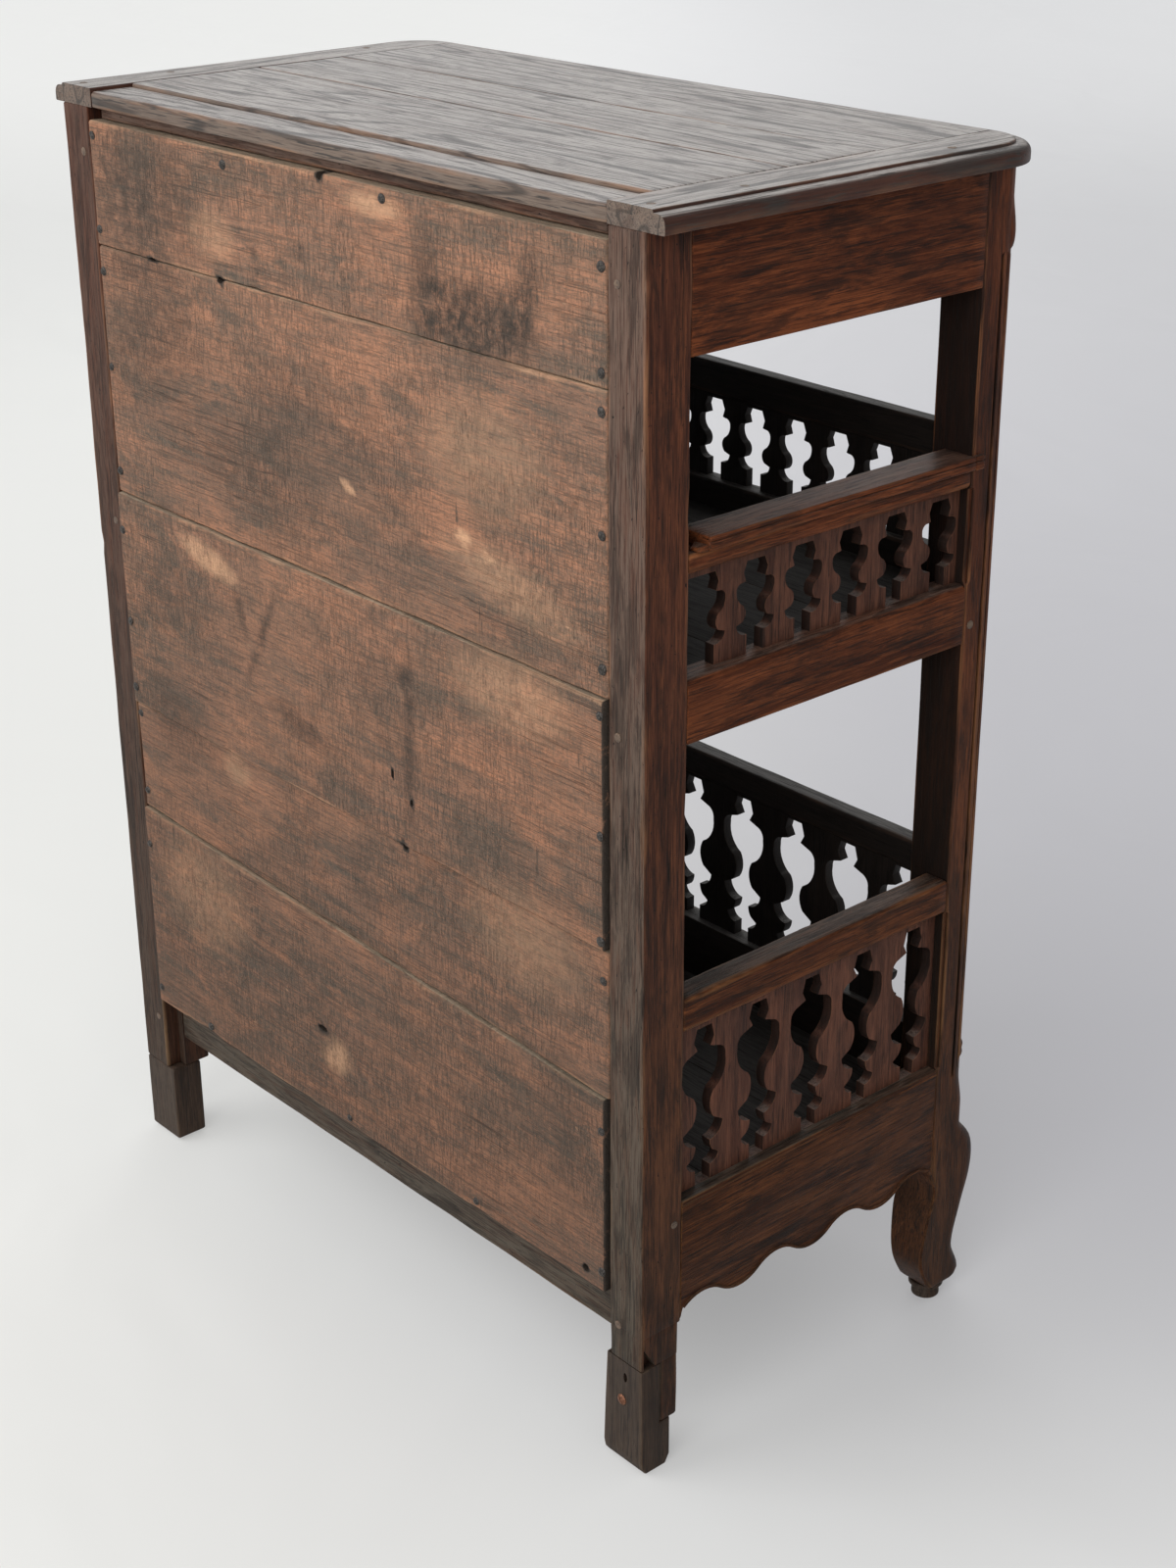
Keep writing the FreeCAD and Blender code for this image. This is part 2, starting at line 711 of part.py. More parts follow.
def nail(index, spot):
    x, face, level = spot
    head = document.addObject("Part::Cone", "nail_head_%d" % index)
    bind(head, "Radius1", s.nail_head_radius * 0.7)
    bind(head, "Radius2", s.nail_head_radius)
    bind(head, "Height", s.nail_head_high)
    placed(head, (x, face + s.nail_head_high, level), "-y")
    shank = rod("nail_shank_%d" % index, (x, face, level), "-y", s.nail_shank_radius, s.nail_long)
    return fuse("nail_%d" % index, [head, shank])


def nail_hole(index, spot):
    x, face, level = spot
    return rod(
        "nail_hole_%d" % index, (x, face + s.tool_reach, level), "-y",
        s.nail_shank_radius + s.round_gap, s.nail_long + s.tool_reach + s.round_gap)


def rear_rails(holes):
    low, high = rear_span(s.post_height - s.rear_top_rail_high, s.post_height)
    tenoned("rear_top_rail", box("rear_top_blank", low, high), 0, low, high, holes)
    top = upper_shelf_top - s.shelf_thick
    low, high = rear_span(top - s.rear_shelf_rail_high, top)
    tenoned("rear_shelf_rail", box("rear_shelf_blank", low, high), 0, low, high, holes)
    top = lower_shelf_top - s.shelf_thick
    low, high = rear_span(top - s.rear_bottom_rail_high, top)
    tenoned("rear_bottom_rail", box("rear_bottom_blank", low, high), 0, low, high, holes)


def back_boards(nail_holes):
    x_left, x_right = board_ends()
    for index in range(len(SEAMS) + 1):
        low_left, low_right, high_right, high_left = board_corners(index)
        face = back_face + s.board_proud if index in PROUD_BOARDS else back_face
        points = [(x_left, low_left), (x_right, low_right), (x_right, high_right), (x_left, high_left)]
        name = "back_board_%d" % (index + 1)
        blank = prism(name + "_blank", "front", board_face, face, points)
        keep(name, cut(name, blank, nail_holes))


# Posts and feet

def front_posts(cuts):
    """Left front post and cabriole leg in one piece; between knee and frieze its corner is a sunk bead."""
    body = document.addObject("PartDesign::Body", "front_post_blank")

    def section(reach, rear, narrow):
        outer, inner = left_face, left_face + s.front_post_width - s.knee_reach * narrow
        front = front_face - s.knee_reach * reach
        back = front_post_back + s.knee_reach * rear
        return [
            (outer, back), (outer, front + s.corner_round, QUARTER_BOW),
            (outer + s.corner_round, front), (inner, front), (inner, back),
        ]

    straight_foot = s.toe_level + (s.leg_top - s.toe_level) * KNEE_SHARE
    pad(body, outline(body, "floor", straight_foot, section(0, 0, 0)), s.post_height - straight_foot)
    sketches = [
        outline(body, "floor", s.toe_level + (s.leg_top - s.toe_level) * share, section(reach, rear, narrow))
        for share, reach, rear, narrow in LEG_SECTIONS
    ]
    leg = body.newObject("PartDesign::AdditiveLoft", "cabriole_leg")
    leg.Profile = sketches[0]
    leg.Sections = sketches[1:]
    top = s.post_height - s.quirk_end_drop
    near, far = s.quirk_from_corner, s.quirk_from_corner + s.quirk_wide
    side_quirk = box(
        "side_quirk", (left_face - s.tool_reach, front_face + near, s.quirk_start),
        (left_face + s.quirk_deep, front_face + far, top))
    front_quirk = box(
        "front_quirk", (left_face + near, front_face - s.tool_reach, s.quirk_start),
        (left_face + far, front_face + s.quirk_deep, top))
    bead = prism("corner_bead", "floor", s.quirk_start, top, [
        (left_face - s.tool_reach, front_face - s.tool_reach),
        (left_face + s.bead_round, front_face - s.tool_reach),
        (left_face + s.bead_round, front_face, -QUARTER_BOW),
        (left_face, front_face + s.bead_round),
        (left_face - s.tool_reach, front_face + s.bead_round),
    ])
    inner = left_face + s.front_post_width
    far_back = front_post_back + s.post_depth
    knee_back = box(
        "knee_back_trim", (left_face - s.tool_reach, front_post_back, scallop_end),
        (inner, far_back, s.leg_top))
    knee_inside = box(
        "knee_inner_trim", (inner, front_face - s.post_depth, scallop_end),
        (inner + s.post_depth, far_back, s.leg_top))
    left = cut("left_front_post", body, cuts + [bead, side_quirk, front_quirk, knee_back, knee_inside])
    keep("left_front_post", left)
    keep("right_front_post", mirrored("right_front_post", left))


def peg_feet():
    """Turned two-tier feet dowelled into the toes of the front legs."""
    centre = (left_face + s.foot_from_side, front_face + s.foot_from_front)
    collar, dowel = s.foot_radius, s.foot_dowel_radius
    waist, disc = collar * 0.72, collar * 0.8
    points = [
        (0, 0), (disc, 0), (disc, s.toe_level * 0.25), (waist, s.toe_level * 0.4, -0.12),
        (waist, s.toe_level * 0.62), (collar, s.toe_level * 0.72), (collar, s.toe_level),
        (dowel, s.toe_level), (dowel, s.toe_level + s.foot_dowel_long), (0, s.toe_level + s.foot_dowel_long),
    ]
    left = turned("left_front_peg_foot", centre, points)
    keep("left_front_peg_foot", left)
    keep("right_front_peg_foot", mirrored("right_front_peg_foot", left))
    return rod(
        "foot_dowel_hole", (centre[0], centre[1], s.toe_level - s.tool_reach), "+z", dowel + s.round_gap,
        s.foot_dowel_long + s.tool_reach + s.round_gap)


def rear_post_blank(name, bottom, top):
    outer, inner = left_face, left_face + s.rear_post_width
    step = inner - s.rebate_wide
    points = [
        (outer, rear_post_front), (inner, rear_post_front), (inner, board_face),
        (step, board_face), (step, back_face), (outer, back_face),
    ]
    return prism(name, "floor", bottom, top, points)


def rear_posts(cuts, nail_holes):
    """Left post spliced to its foot by a half lap, right post on a dowelled foot block."""
    outer = left_face
    lap = back_face - s.splice_thick
    wide = outer + s.rear_foot_wide
    foot_front = back_face - s.rear_foot_deep
    tongue = box(
        "splice_tongue", (outer, rear_post_front, s.splice_low), (wide, lap, s.splice_high))
    post = rear_post_blank("left_rear_post_blank", s.splice_high, s.post_height)
    screw_hole = splice_screw_hole()
    chip = prism(
        "splice_chip", "side", left_face - s.tool_reach, left_face + s.chip_deep,
        [(back_face - s.chip_skin - s.chip_long, s.splice_high), (back_face - s.chip_skin, s.splice_high),
         (back_face - s.chip_skin, s.splice_high + s.chip_high)])
    joined = fuse("left_rear_post_joined", [post, tongue])
    keep("left_rear_post", cut("left_rear_post", joined, cuts + nail_holes + [chip, screw_hole]))
    foot = box("left_foot_block", (outer, foot_front, 0), (wide, back_face, s.splice_low))
    upstand = box("left_foot_upstand", (outer, lap, s.splice_low), (wide, back_face, s.splice_high))
    whole = fuse("left_foot_joined", [foot, upstand])
    keep("left_rear_foot", cut("left_rear_foot", whole, [screw_hole]))

    dowel_spot = (outer + s.rear_foot_wide / 2, back_face - s.rear_foot_deep / 2, s.right_foot_high)
    dowel = rod("right_foot_dowel", dowel_spot, "+z", s.foot_dowel_radius, s.foot_dowel_long)
    hole = rod(
        "right_foot_dowel_hole", dowel_spot, "+z", s.foot_dowel_radius + s.round_gap,
        s.foot_dowel_long + s.round_gap)
    post = rear_post_blank("right_rear_post_blank", s.right_foot_high, s.post_height)
    shaped = mirrored("right_rear_post_shaped", cut("right_rear_post_cut", post, cuts + [hole]))
    keep("right_rear_post", cut("right_rear_post", shaped, nail_holes))
    block = box(
        "right_foot_block", (outer, foot_front, s.glide_high), (wide, back_face, s.right_foot_high))
    foot = fuse("right_foot_joined", [block, dowel])
    keep("right_rear_foot", mirrored("right_rear_foot", foot))
    glide = rod("glide_disc", (dowel_spot[0], dowel_spot[1], 0), "+z", s.glide_radius, s.glide_high)
    keep("right_rear_foot_glide", mirrored("right_rear_foot_glide", glide))


def splice_screw_spot():
    return left_face + s.rear_foot_wide / 2, back_face, (s.splice_low + s.splice_high) * 0.44


def splice_screw_hole():
    x, face, level = splice_screw_spot()
    shank = rod(
        "screw_hole", (x, face + s.tool_reach, level), "-y", s.screw_shank_radius + s.round_gap,
        s.screw_long + s.tool_reach + s.round_gap)
    seat = rod(
        "screw_seat", (x, face + s.tool_reach, level), "-y", s.screw_head_radius + s.round_gap,
        s.screw_head_high + s.tool_reach)
    return fuse("screw_bore", [shank, seat])


def splice_screw():
    """Slotted screw that holds the lap, its head let in flush."""
    x, face, level = splice_screw_spot()
    head = rod("screw_head", (x, face, level), "-y", s.screw_head_radius, s.screw_head_high)
    shank = rod("screw_shank", (x, face, level), "-y", s.screw_shank_radius, s.screw_long)
    half = s.screw_slot_wide / 2
    slot = box(
        "screw_slot", (x - half, face - s.screw_head_high / 2, level - s.screw_head_radius - s.tool_reach),
        (x + half, face + s.tool_reach, level + s.screw_head_radius + s.tool_reach))
    keep("foot_screw", cut("foot_screw", fuse("screw_turned", [head, shank]), [slot]))


# Shelves

def shelf(level, where, front_thick):
    """Three planks side by side on the bearers and the rear rail, notched round the posts."""
    front, back = front_face + front_thick, board_face
    wide = (back - front) / 3
    x_low, x_high = left_face + s.side_rail_thick, right_face - s.side_rail_thick
    bottom = level - s.shelf_thick
    for index, place in enumerate(("front", "middle", "rear")):
        name = "%s_shelf_board_%s" % (where, place)
        low = (x_low, front + wide * index + s.fit_gap, bottom)
        high = (x_high, front + wide * (index + 1), level)
        if place == "middle":
            keep(name, box(name, low, high))
            continue
        width = s.front_post_width if place == "front" else s.rear_post_width
        y_low, y_high = rear_post_front, back + s.tool_reach
        if place == "front":
            y_low, y_high = front - s.tool_reach, front_post_back
        notches = []
        for side in SIDES:
            x_near, x_far = across(side, 0, width)
            notches.append(grown(
                "%s_%s_notch" % (name, side), (x_near, y_low, bottom - s.tool_reach),
                (x_far, y_high, level + s.tool_reach), s.fit_gap))
        keep(name, cut(name, box(name + "_blank", low, high), notches))


# Top

def top_slab():
    """Moulded slab that the boards, clamps and strip of the top are cut from."""
    def edge(inset, corner):
        left, right = left_face - s.left_overhang + inset, right_face + s.right_overhang - inset
        front = front_face - s.front_overhang + inset
        return [
            (left, back_face), (left, front + corner, QUARTER_BOW), (left + corner, front),
            (right - corner, front, QUARTER_BOW), (right, front + corner), (right, back_face),
        ]

    body = document.addObject("PartDesign::Body", "top_slab")
    step_level = s.post_height + s.top_thick - s.edge_step
    lower = pad(body, outline(body, "floor", s.post_height, edge(as_size(0), s.top_corner_round)),
                s.top_thick - s.edge_step)
    document.recompute()
    moulded = []
    for number, line in enumerate(lower.Shape.Edges, 1):
        ends = [vertex.Point for vertex in line.Vertexes]
        high = all(abs(point.z - step_level.number) < 1e-6 for point in ends)
        rear = all(abs(point.y - back_face.number) < 1e-6 for point in ends)
        if high and not rear:
            moulded.append("Edge%d" % number)
    round_over = body.newObject("PartDesign::Fillet", "top_edge_round")
    round_over.Base = (lower, moulded)
    bind(round_over, "Radius", s.edge_round)
    body.Tip = round_over
    pad(body, outline(body, "floor", step_level, edge(s.edge_inset, s.top_corner_round - s.edge_inset)),
        s.edge_step)
    return body


def top_pieces():
    slab = top_slab()
    low, high = s.post_height, s.post_height + s.top_thick
    clamp_left = left_face - s.left_overhang + s.clamp_wide
    clamp_right = right_face + s.right_overhang - s.clamp_wide
    front_edge = front_face - s.front_overhang
    strip_seam = back_face - s.strip_wide
    rear_seam = strip_seam - s.rear_plank_wide
    middle_seam = rear_seam - s.middle_plank_wide
    tongue_low = low + (s.top_thick - s.strip_lower - s.tongue_thick) / 2
    tongue_high = tongue_low + s.tongue_thick
    tongue_front = front_edge + s.tongue_margin

    planks = (
        ("top_board_front", front_edge - s.tool_reach, middle_seam, tongue_front, middle_seam, high),
        ("top_board_middle", middle_seam, rear_seam, middle_seam, rear_seam, high),
        ("top_board_rear", rear_seam, strip_seam, rear_seam, strip_seam, high),
        ("top_back_strip", strip_seam, back_face, strip_seam, back_face, high - s.strip_lower),
    )
    holes = [rod("%s_hole" % name, spot, "-z", s.peg_radius + s.round_gap, s.top_peg_long + s.round_gap)
             for name, spot in top_peg_spots()]
    for name, y_low, y_high, tongue_start, tongue_end, level in planks:
        plank = box(name + "_span", (clamp_left, y_low, low), (clamp_right, y_high, level))
        tongue = box(
            name + "_tongue", (clamp_left - s.tongue_long, tongue_start, tongue_low),
            (clamp_right + s.tongue_long, tongue_end, tongue_high))
        shaped = common(name + "_shaped", slab, fuse(name + "_stock", [plank, tongue]))
        keep(name, cut(name, shaped, holes))
    groove = grown(
        "clamp_groove", (clamp_left - s.tongue_long, tongue_front, tongue_low),
        (clamp_right + s.tongue_long, back_face, tongue_high), s.fit_gap)
    ends = {
        "left_top_clamp": (left_face - s.left_overhang - s.tool_reach, clamp_left),
        "right_top_clamp": (clamp_right, right_face + s.right_overhang + s.tool_reach),
    }
    for name, (x_low, x_high) in ends.items():
        span = box(name + "_span", (x_low, front_edge - s.tool_reach, low), (x_high, back_face, high))
        keep(name, cut(name, common(name + "_shaped", slab, span), [groove] + holes))
    group("top_pegs", [
        rod(name, spot, "-z", s.peg_radius, s.top_peg_long) for name, spot in top_peg_spots()])


def top_peg_spots():
    """Pegs that pin the tongues of the strip, the rear board and the front board in both clamps."""
    top = s.post_height + s.top_thick
    inwards = s.clamp_wide - s.tongue_long * 0.78
    columns = (left_face - s.left_overhang + inwards, right_face + s.right_overhang - inwards)
    seam = back_face - s.strip_wide
    rows = (
        seam + s.strip_wide * 0.7,
        seam - s.rear_plank_wide * 0.45,
        seam - s.rear_plank_wide - s.middle_plank_wide - s.tongue_margin * 2,
    )
    return [
        ("top_peg_%d_%d" % (column, row), (x, y, top))
        for column, x in enumerate(columns) for row, y in enumerate(rows)
    ]


# Assembly

peg_hole_radius = s.peg_radius + s.round_gap
spots = nail_spots()
group("back_nails", [nail(i, spot) for i, spot in enumerate(spots)])
nail_holes = [nail_hole(i, spot) for i, spot in enumerate(spots)]
left_back_holes = back_pegs("left", peg_hole_radius, "left_back_peg_hole")
right_back_holes = back_pegs("right", peg_hole_radius, "right_back_peg_hole")

side_assembly()
keep("left_upper_gallery_cap", gallery_cap("left_upper_gallery_cap", s.cap_break))
whole_cap = gallery_cap("whole_cap", as_size(0))
keep("right_upper_gallery_cap", mirrored("right_upper_gallery_cap", whole_cap))
front_assembly()
rear_rails(nail_holes + left_back_holes + right_back_holes)
back_boards(nail_holes)

side_holes = [
    shelf_peg("left", peg_hole_radius, "post_shelf_peg_hole"),
    apron_peg("left", peg_hole_radius, "post_apron_peg_hole"),
]
front_posts(mortises + [side_holes[0], peg_feet()])
rear_posts(mortises + left_back_holes + [side_holes[1]], nail_holes)
splice_screw()
group("joint_pegs", [
    peg
    for side in SIDES
    for peg in back_pegs(side, s.peg_radius, side + "_back_peg")
    + [shelf_peg(side, s.peg_radius, side + "_shelf_peg"), apron_peg(side, s.peg_radius, side + "_apron_peg")]
])
shelf(upper_shelf_top, "upper", s.front_shelf_thick)
shelf(lower_shelf_top, "lower", s.front_apron_thick)
top_pieces()
document.recompute()

# Check and write every piece

for thing in document.Objects:
    if "Invalid" in thing.State or "Error" in thing.State:
        raise RuntimeError("%s did not build: %s" % (thing.Name, thing.State))
os.makedirs("parts", exist_ok=True)
for name, piece in nodes.items():
    if piece.Shape.isNull() or not piece.Shape.isValid() or piece.Shape.Volume <= 0:
        raise RuntimeError("%s has no valid shape" % name)
    piece.Shape.exportStep("parts/%s.step" % name)
    span = piece.Shape.BoundBox
    print("%-28s %2d solid %10.0f mm3  x %7.1f %7.1f  y %7.1f %7.1f  z %7.1f %7.1f" % (
        name, len(piece.Shape.Solids), piece.Shape.Volume,
        span.XMin, span.XMax, span.YMin, span.YMax, span.ZMin, span.ZMax))
print(len(nodes), "pieces")
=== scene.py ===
"""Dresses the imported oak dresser: worn timbers, pierced galleries, nails, pegs and a plain studio."""

import json
import logging
from dataclasses import dataclass, replace
from enum import Enum
from functools import cache
from math import atan, copysign, cos, pi, radians, sin, sqrt
from typing import Optional, Sequence, Union

import bmesh
import bpy
from mathutils import Matrix, Vector, noise

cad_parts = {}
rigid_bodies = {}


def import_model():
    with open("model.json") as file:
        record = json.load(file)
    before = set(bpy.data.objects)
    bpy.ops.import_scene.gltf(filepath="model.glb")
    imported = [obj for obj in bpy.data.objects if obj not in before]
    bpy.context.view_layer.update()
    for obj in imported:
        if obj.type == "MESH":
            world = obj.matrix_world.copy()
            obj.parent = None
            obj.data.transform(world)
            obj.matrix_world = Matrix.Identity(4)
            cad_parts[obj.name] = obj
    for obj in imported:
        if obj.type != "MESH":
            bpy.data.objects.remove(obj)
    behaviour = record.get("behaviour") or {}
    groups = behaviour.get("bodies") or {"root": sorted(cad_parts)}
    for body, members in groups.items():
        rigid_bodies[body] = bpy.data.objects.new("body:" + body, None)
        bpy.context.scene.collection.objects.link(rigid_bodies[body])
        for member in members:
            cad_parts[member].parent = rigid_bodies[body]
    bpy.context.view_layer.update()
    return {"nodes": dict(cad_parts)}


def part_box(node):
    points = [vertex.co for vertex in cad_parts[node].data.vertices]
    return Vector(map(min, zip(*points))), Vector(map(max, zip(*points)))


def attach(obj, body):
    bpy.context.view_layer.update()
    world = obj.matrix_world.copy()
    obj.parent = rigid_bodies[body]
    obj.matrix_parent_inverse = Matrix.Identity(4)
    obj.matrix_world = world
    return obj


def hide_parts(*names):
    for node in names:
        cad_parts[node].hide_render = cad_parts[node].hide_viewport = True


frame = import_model()

log = logging.getLogger("dresser")
MM = 0.001
DRIFT_SEED = 11
TONE_STEP = 0.618
WELD = 0.02 * MM
OVOLO = 6.5 * MM
SCALLOP_BOW = 0.17
QUARTER_ROUND = 0.2071
SHARP = (0, 0, 0, 0)
Corner = tuple[float, float, float]
Flat = tuple[float, float]
Colour = tuple[float, float, float]
Mesh = bpy.types.Mesh
Piece = bpy.types.Object
Material = bpy.types.Material
Socket = bpy.types.NodeSocket
Feed = Union[float, tuple, Socket]


class Axis(Enum):
    """Direction in which a timber and its grain run."""

    X = 0
    Y = 1
    Z = 2

    def place(self, along: float, first: float, second: float) -> Vector:
        """Point at a distance along the axis and two distances across it, in world order."""
        spot = [first, second]
        spot.insert(self.value, along)
        return Vector(spot)


class Side(Enum):
    """The dresser's two sides, as the sign of the way inwards."""

    LEFT = 1
    RIGHT = -1

    @property
    def word(self) -> str:
        """The side's name as the pieces spell it."""
        return self.name.lower()


class Slot(Enum):
    """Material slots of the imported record."""

    DARK = "dark_oak"
    GALLERY = "gallery_oak"
    SHELF = "shelf_oak"
    BACK = "back_board_oak"
    TOP = "top_oak"
    PEG = "peg_oak"
    NAIL = "nail_iron"
    SCREW = "screw_brass"


@dataclass(frozen=True)
class Carcass:
    """Main faces and levels of the dresser in metres, as the solids have them."""

    left: float = -386 * MM
    right: float = 394 * MM
    back: float = 214.5 * MM
    front: float = -197.5 * MM
    rear_post_front: float = 169.5 * MM
    front_post_back: float = -152.5 * MM
    board_face: float = 198.5 * MM
    post_top: float = 1083 * MM
    top: float = 1100 * MM
    apron_level: float = 155 * MM
    lower_sill: float = 264 * MM
    lower_rail_bottom: float = 427 * MM
    lower_rail_top: float = 458 * MM
    shelf_rail_bottom: float = 682 * MM
    upper_sill: float = 735 * MM
    upper_rail_bottom: float = 820 * MM
    cap_bottom: float = 836 * MM
    cap_top: float = 848 * MM
    frieze_bottom: float = 986.5 * MM
    rear_post_width: float = 50 * MM
    front_post_width: float = 45 * MM
    rail_thick: float = 25 * MM

    def outer(self, side: Side) -> float:
        """X of a side's outer face."""
        return self.left if side is Side.LEFT else self.right

    def inwards(self, side: Side, distance: float) -> float:
        """X at a distance inwards from a side's outer face."""
        return self.outer(side) + side.value * distance


BODY = Carcass()


@dataclass(frozen=True)
class Arris:
    """How a timber's long edges have been rubbed and knocked."""

    round: float = 1.3 * MM
    spread: float = 0.5
    chip: float = 0.0
    wobble: float = 0.25 * MM


PLAIN = Arris()
KNOCKED = Arris(round=1.6 * MM, spread=0.7, chip=5 * MM, wobble=0.4 * MM)
SOFT = Arris(round=2.2 * MM, spread=0.5, chip=2 * MM)
ROUGH = Arris(round=1.9 * MM, spread=0.8, chip=6 * MM, wobble=0.5 * MM)
KEEN = Arris(round=0.1 * MM, spread=0, wobble=0)


# Meshes

def link_piece(name: str, data: bpy.types.ID) -> Piece:
    """Puts a mesh, curve, lamp or camera into the scene as an object at the origin."""
    piece = bpy.data.objects.new(name, data)
    bpy.context.scene.collection.objects.link(piece)
    return piece


def add_number(mesh: Mesh, name: str, values: Sequence[float]) -> None:
    """Writes one number per vertex into a named attribute of the mesh."""
    layer = mesh.attributes.get(name) or mesh.attributes.new(name, "FLOAT", "POINT")
    layer.data.foreach_set("value", values)


def set_tone(mesh: Mesh, seed: int) -> None:
    """Gives every vertex the tone that belongs to a seed."""
    add_number(mesh, "tone", [seed * TONE_STEP % 1.0] * len(mesh.vertices))


def turn_outwards(mesh: Mesh) -> None:
    """Flips a closed mesh whose faces point inwards."""
    shell = bmesh.new()
    shell.from_mesh(mesh)
    inside_out = shell.calc_volume(signed=True) < 0
    shell.free()
    if inside_out:
        mesh.flip_normals()


def soften(mesh: Mesh, degrees: float = 38) -> None:
    """Shades a mesh smooth except across edges sharper than an angle."""
    mesh.shade_smooth()
    mesh.set_sharp_from_angle(angle=radians(degrees))


def make_piece(name: str, points: Sequence[Vector], faces: Sequence[Sequence[int]],
               wear: Sequence[float], seed: int) -> Piece:
    """Makes a closed piece with its wear and its own tone stored on the vertices.

    Args:
        name: Name of the piece.
        points: Vertices in world coordinates.
        faces: Vertex numbers of each face.
        wear: Rubbing of each vertex, from 0 to 1.
        seed: Number that sets the piece's tone.

    Returns:
        The new object.
    """
    mesh = bpy.data.meshes.new(name)
    mesh.from_pydata(points, [], faces)
    add_number(mesh, "wear", wear)
    set_tone(mesh, seed)
    turn_outwards(mesh)
    soften(mesh)
    return link_piece(name, mesh)


def skin(rings: Sequence[Sequence[Vector]], first: int = 0) -> list[tuple[int, ...]]:
    """Faces that join equal rings in order and close both ends.

    Args:
        rings: Rings of points, all of one length.
        first: Number of the first vertex.

    Returns:
        Vertex numbers of each face.
    """
    size = len(rings[0])
    faces = []
    for row in range(len(rings) - 1):
        for i in range(size):
            near, far = first + row * size, first + (row + 1) * size
            faces.append((near + i, near + (i + 1) % size, far + (i + 1) % size, far + i))
    faces.append(tuple(first + i for i in reversed(range(size))))
    faces.append(tuple(first + (len(rings) - 1) * size + i for i in range(size)))
    return faces


def lofted(name: str, rings: Sequence[Sequence[Vector]], wear: Sequence[float], seed: int) -> Piece:
    """A closed piece from equal rings in order, with the wear of every point."""
    return make_piece(name, [point for ring in rings for point in ring], skin(rings), wear, seed)


def prism(name: str, axis: Axis, ends: Flat, loop: Sequence[Flat]) -> Piece:
    """A sharp cutting tool with one outline at both ends."""
    rings = [[axis.place(end, *spot) for spot in loop] for end in ends]
    return lofted(name, rings, [0.0] * (2 * len(loop)), 0)


def eased(share: float) -> float:
    """Smooth step of a share that is first kept between 0 and 1."""
    share = min(1.0, max(0.0, share))
    return share * share * (3 - 2 * share)


def wobbled(point: Vector, amount: float, seed: int) -> Vector:
    """The point moved a little by a smooth drift that never repeats between seeds."""
    drift = noise.noise_vector(point * 14 + Vector((seed * 3.7, seed * 1.9, seed * 2.3)))
    return point + drift * amount


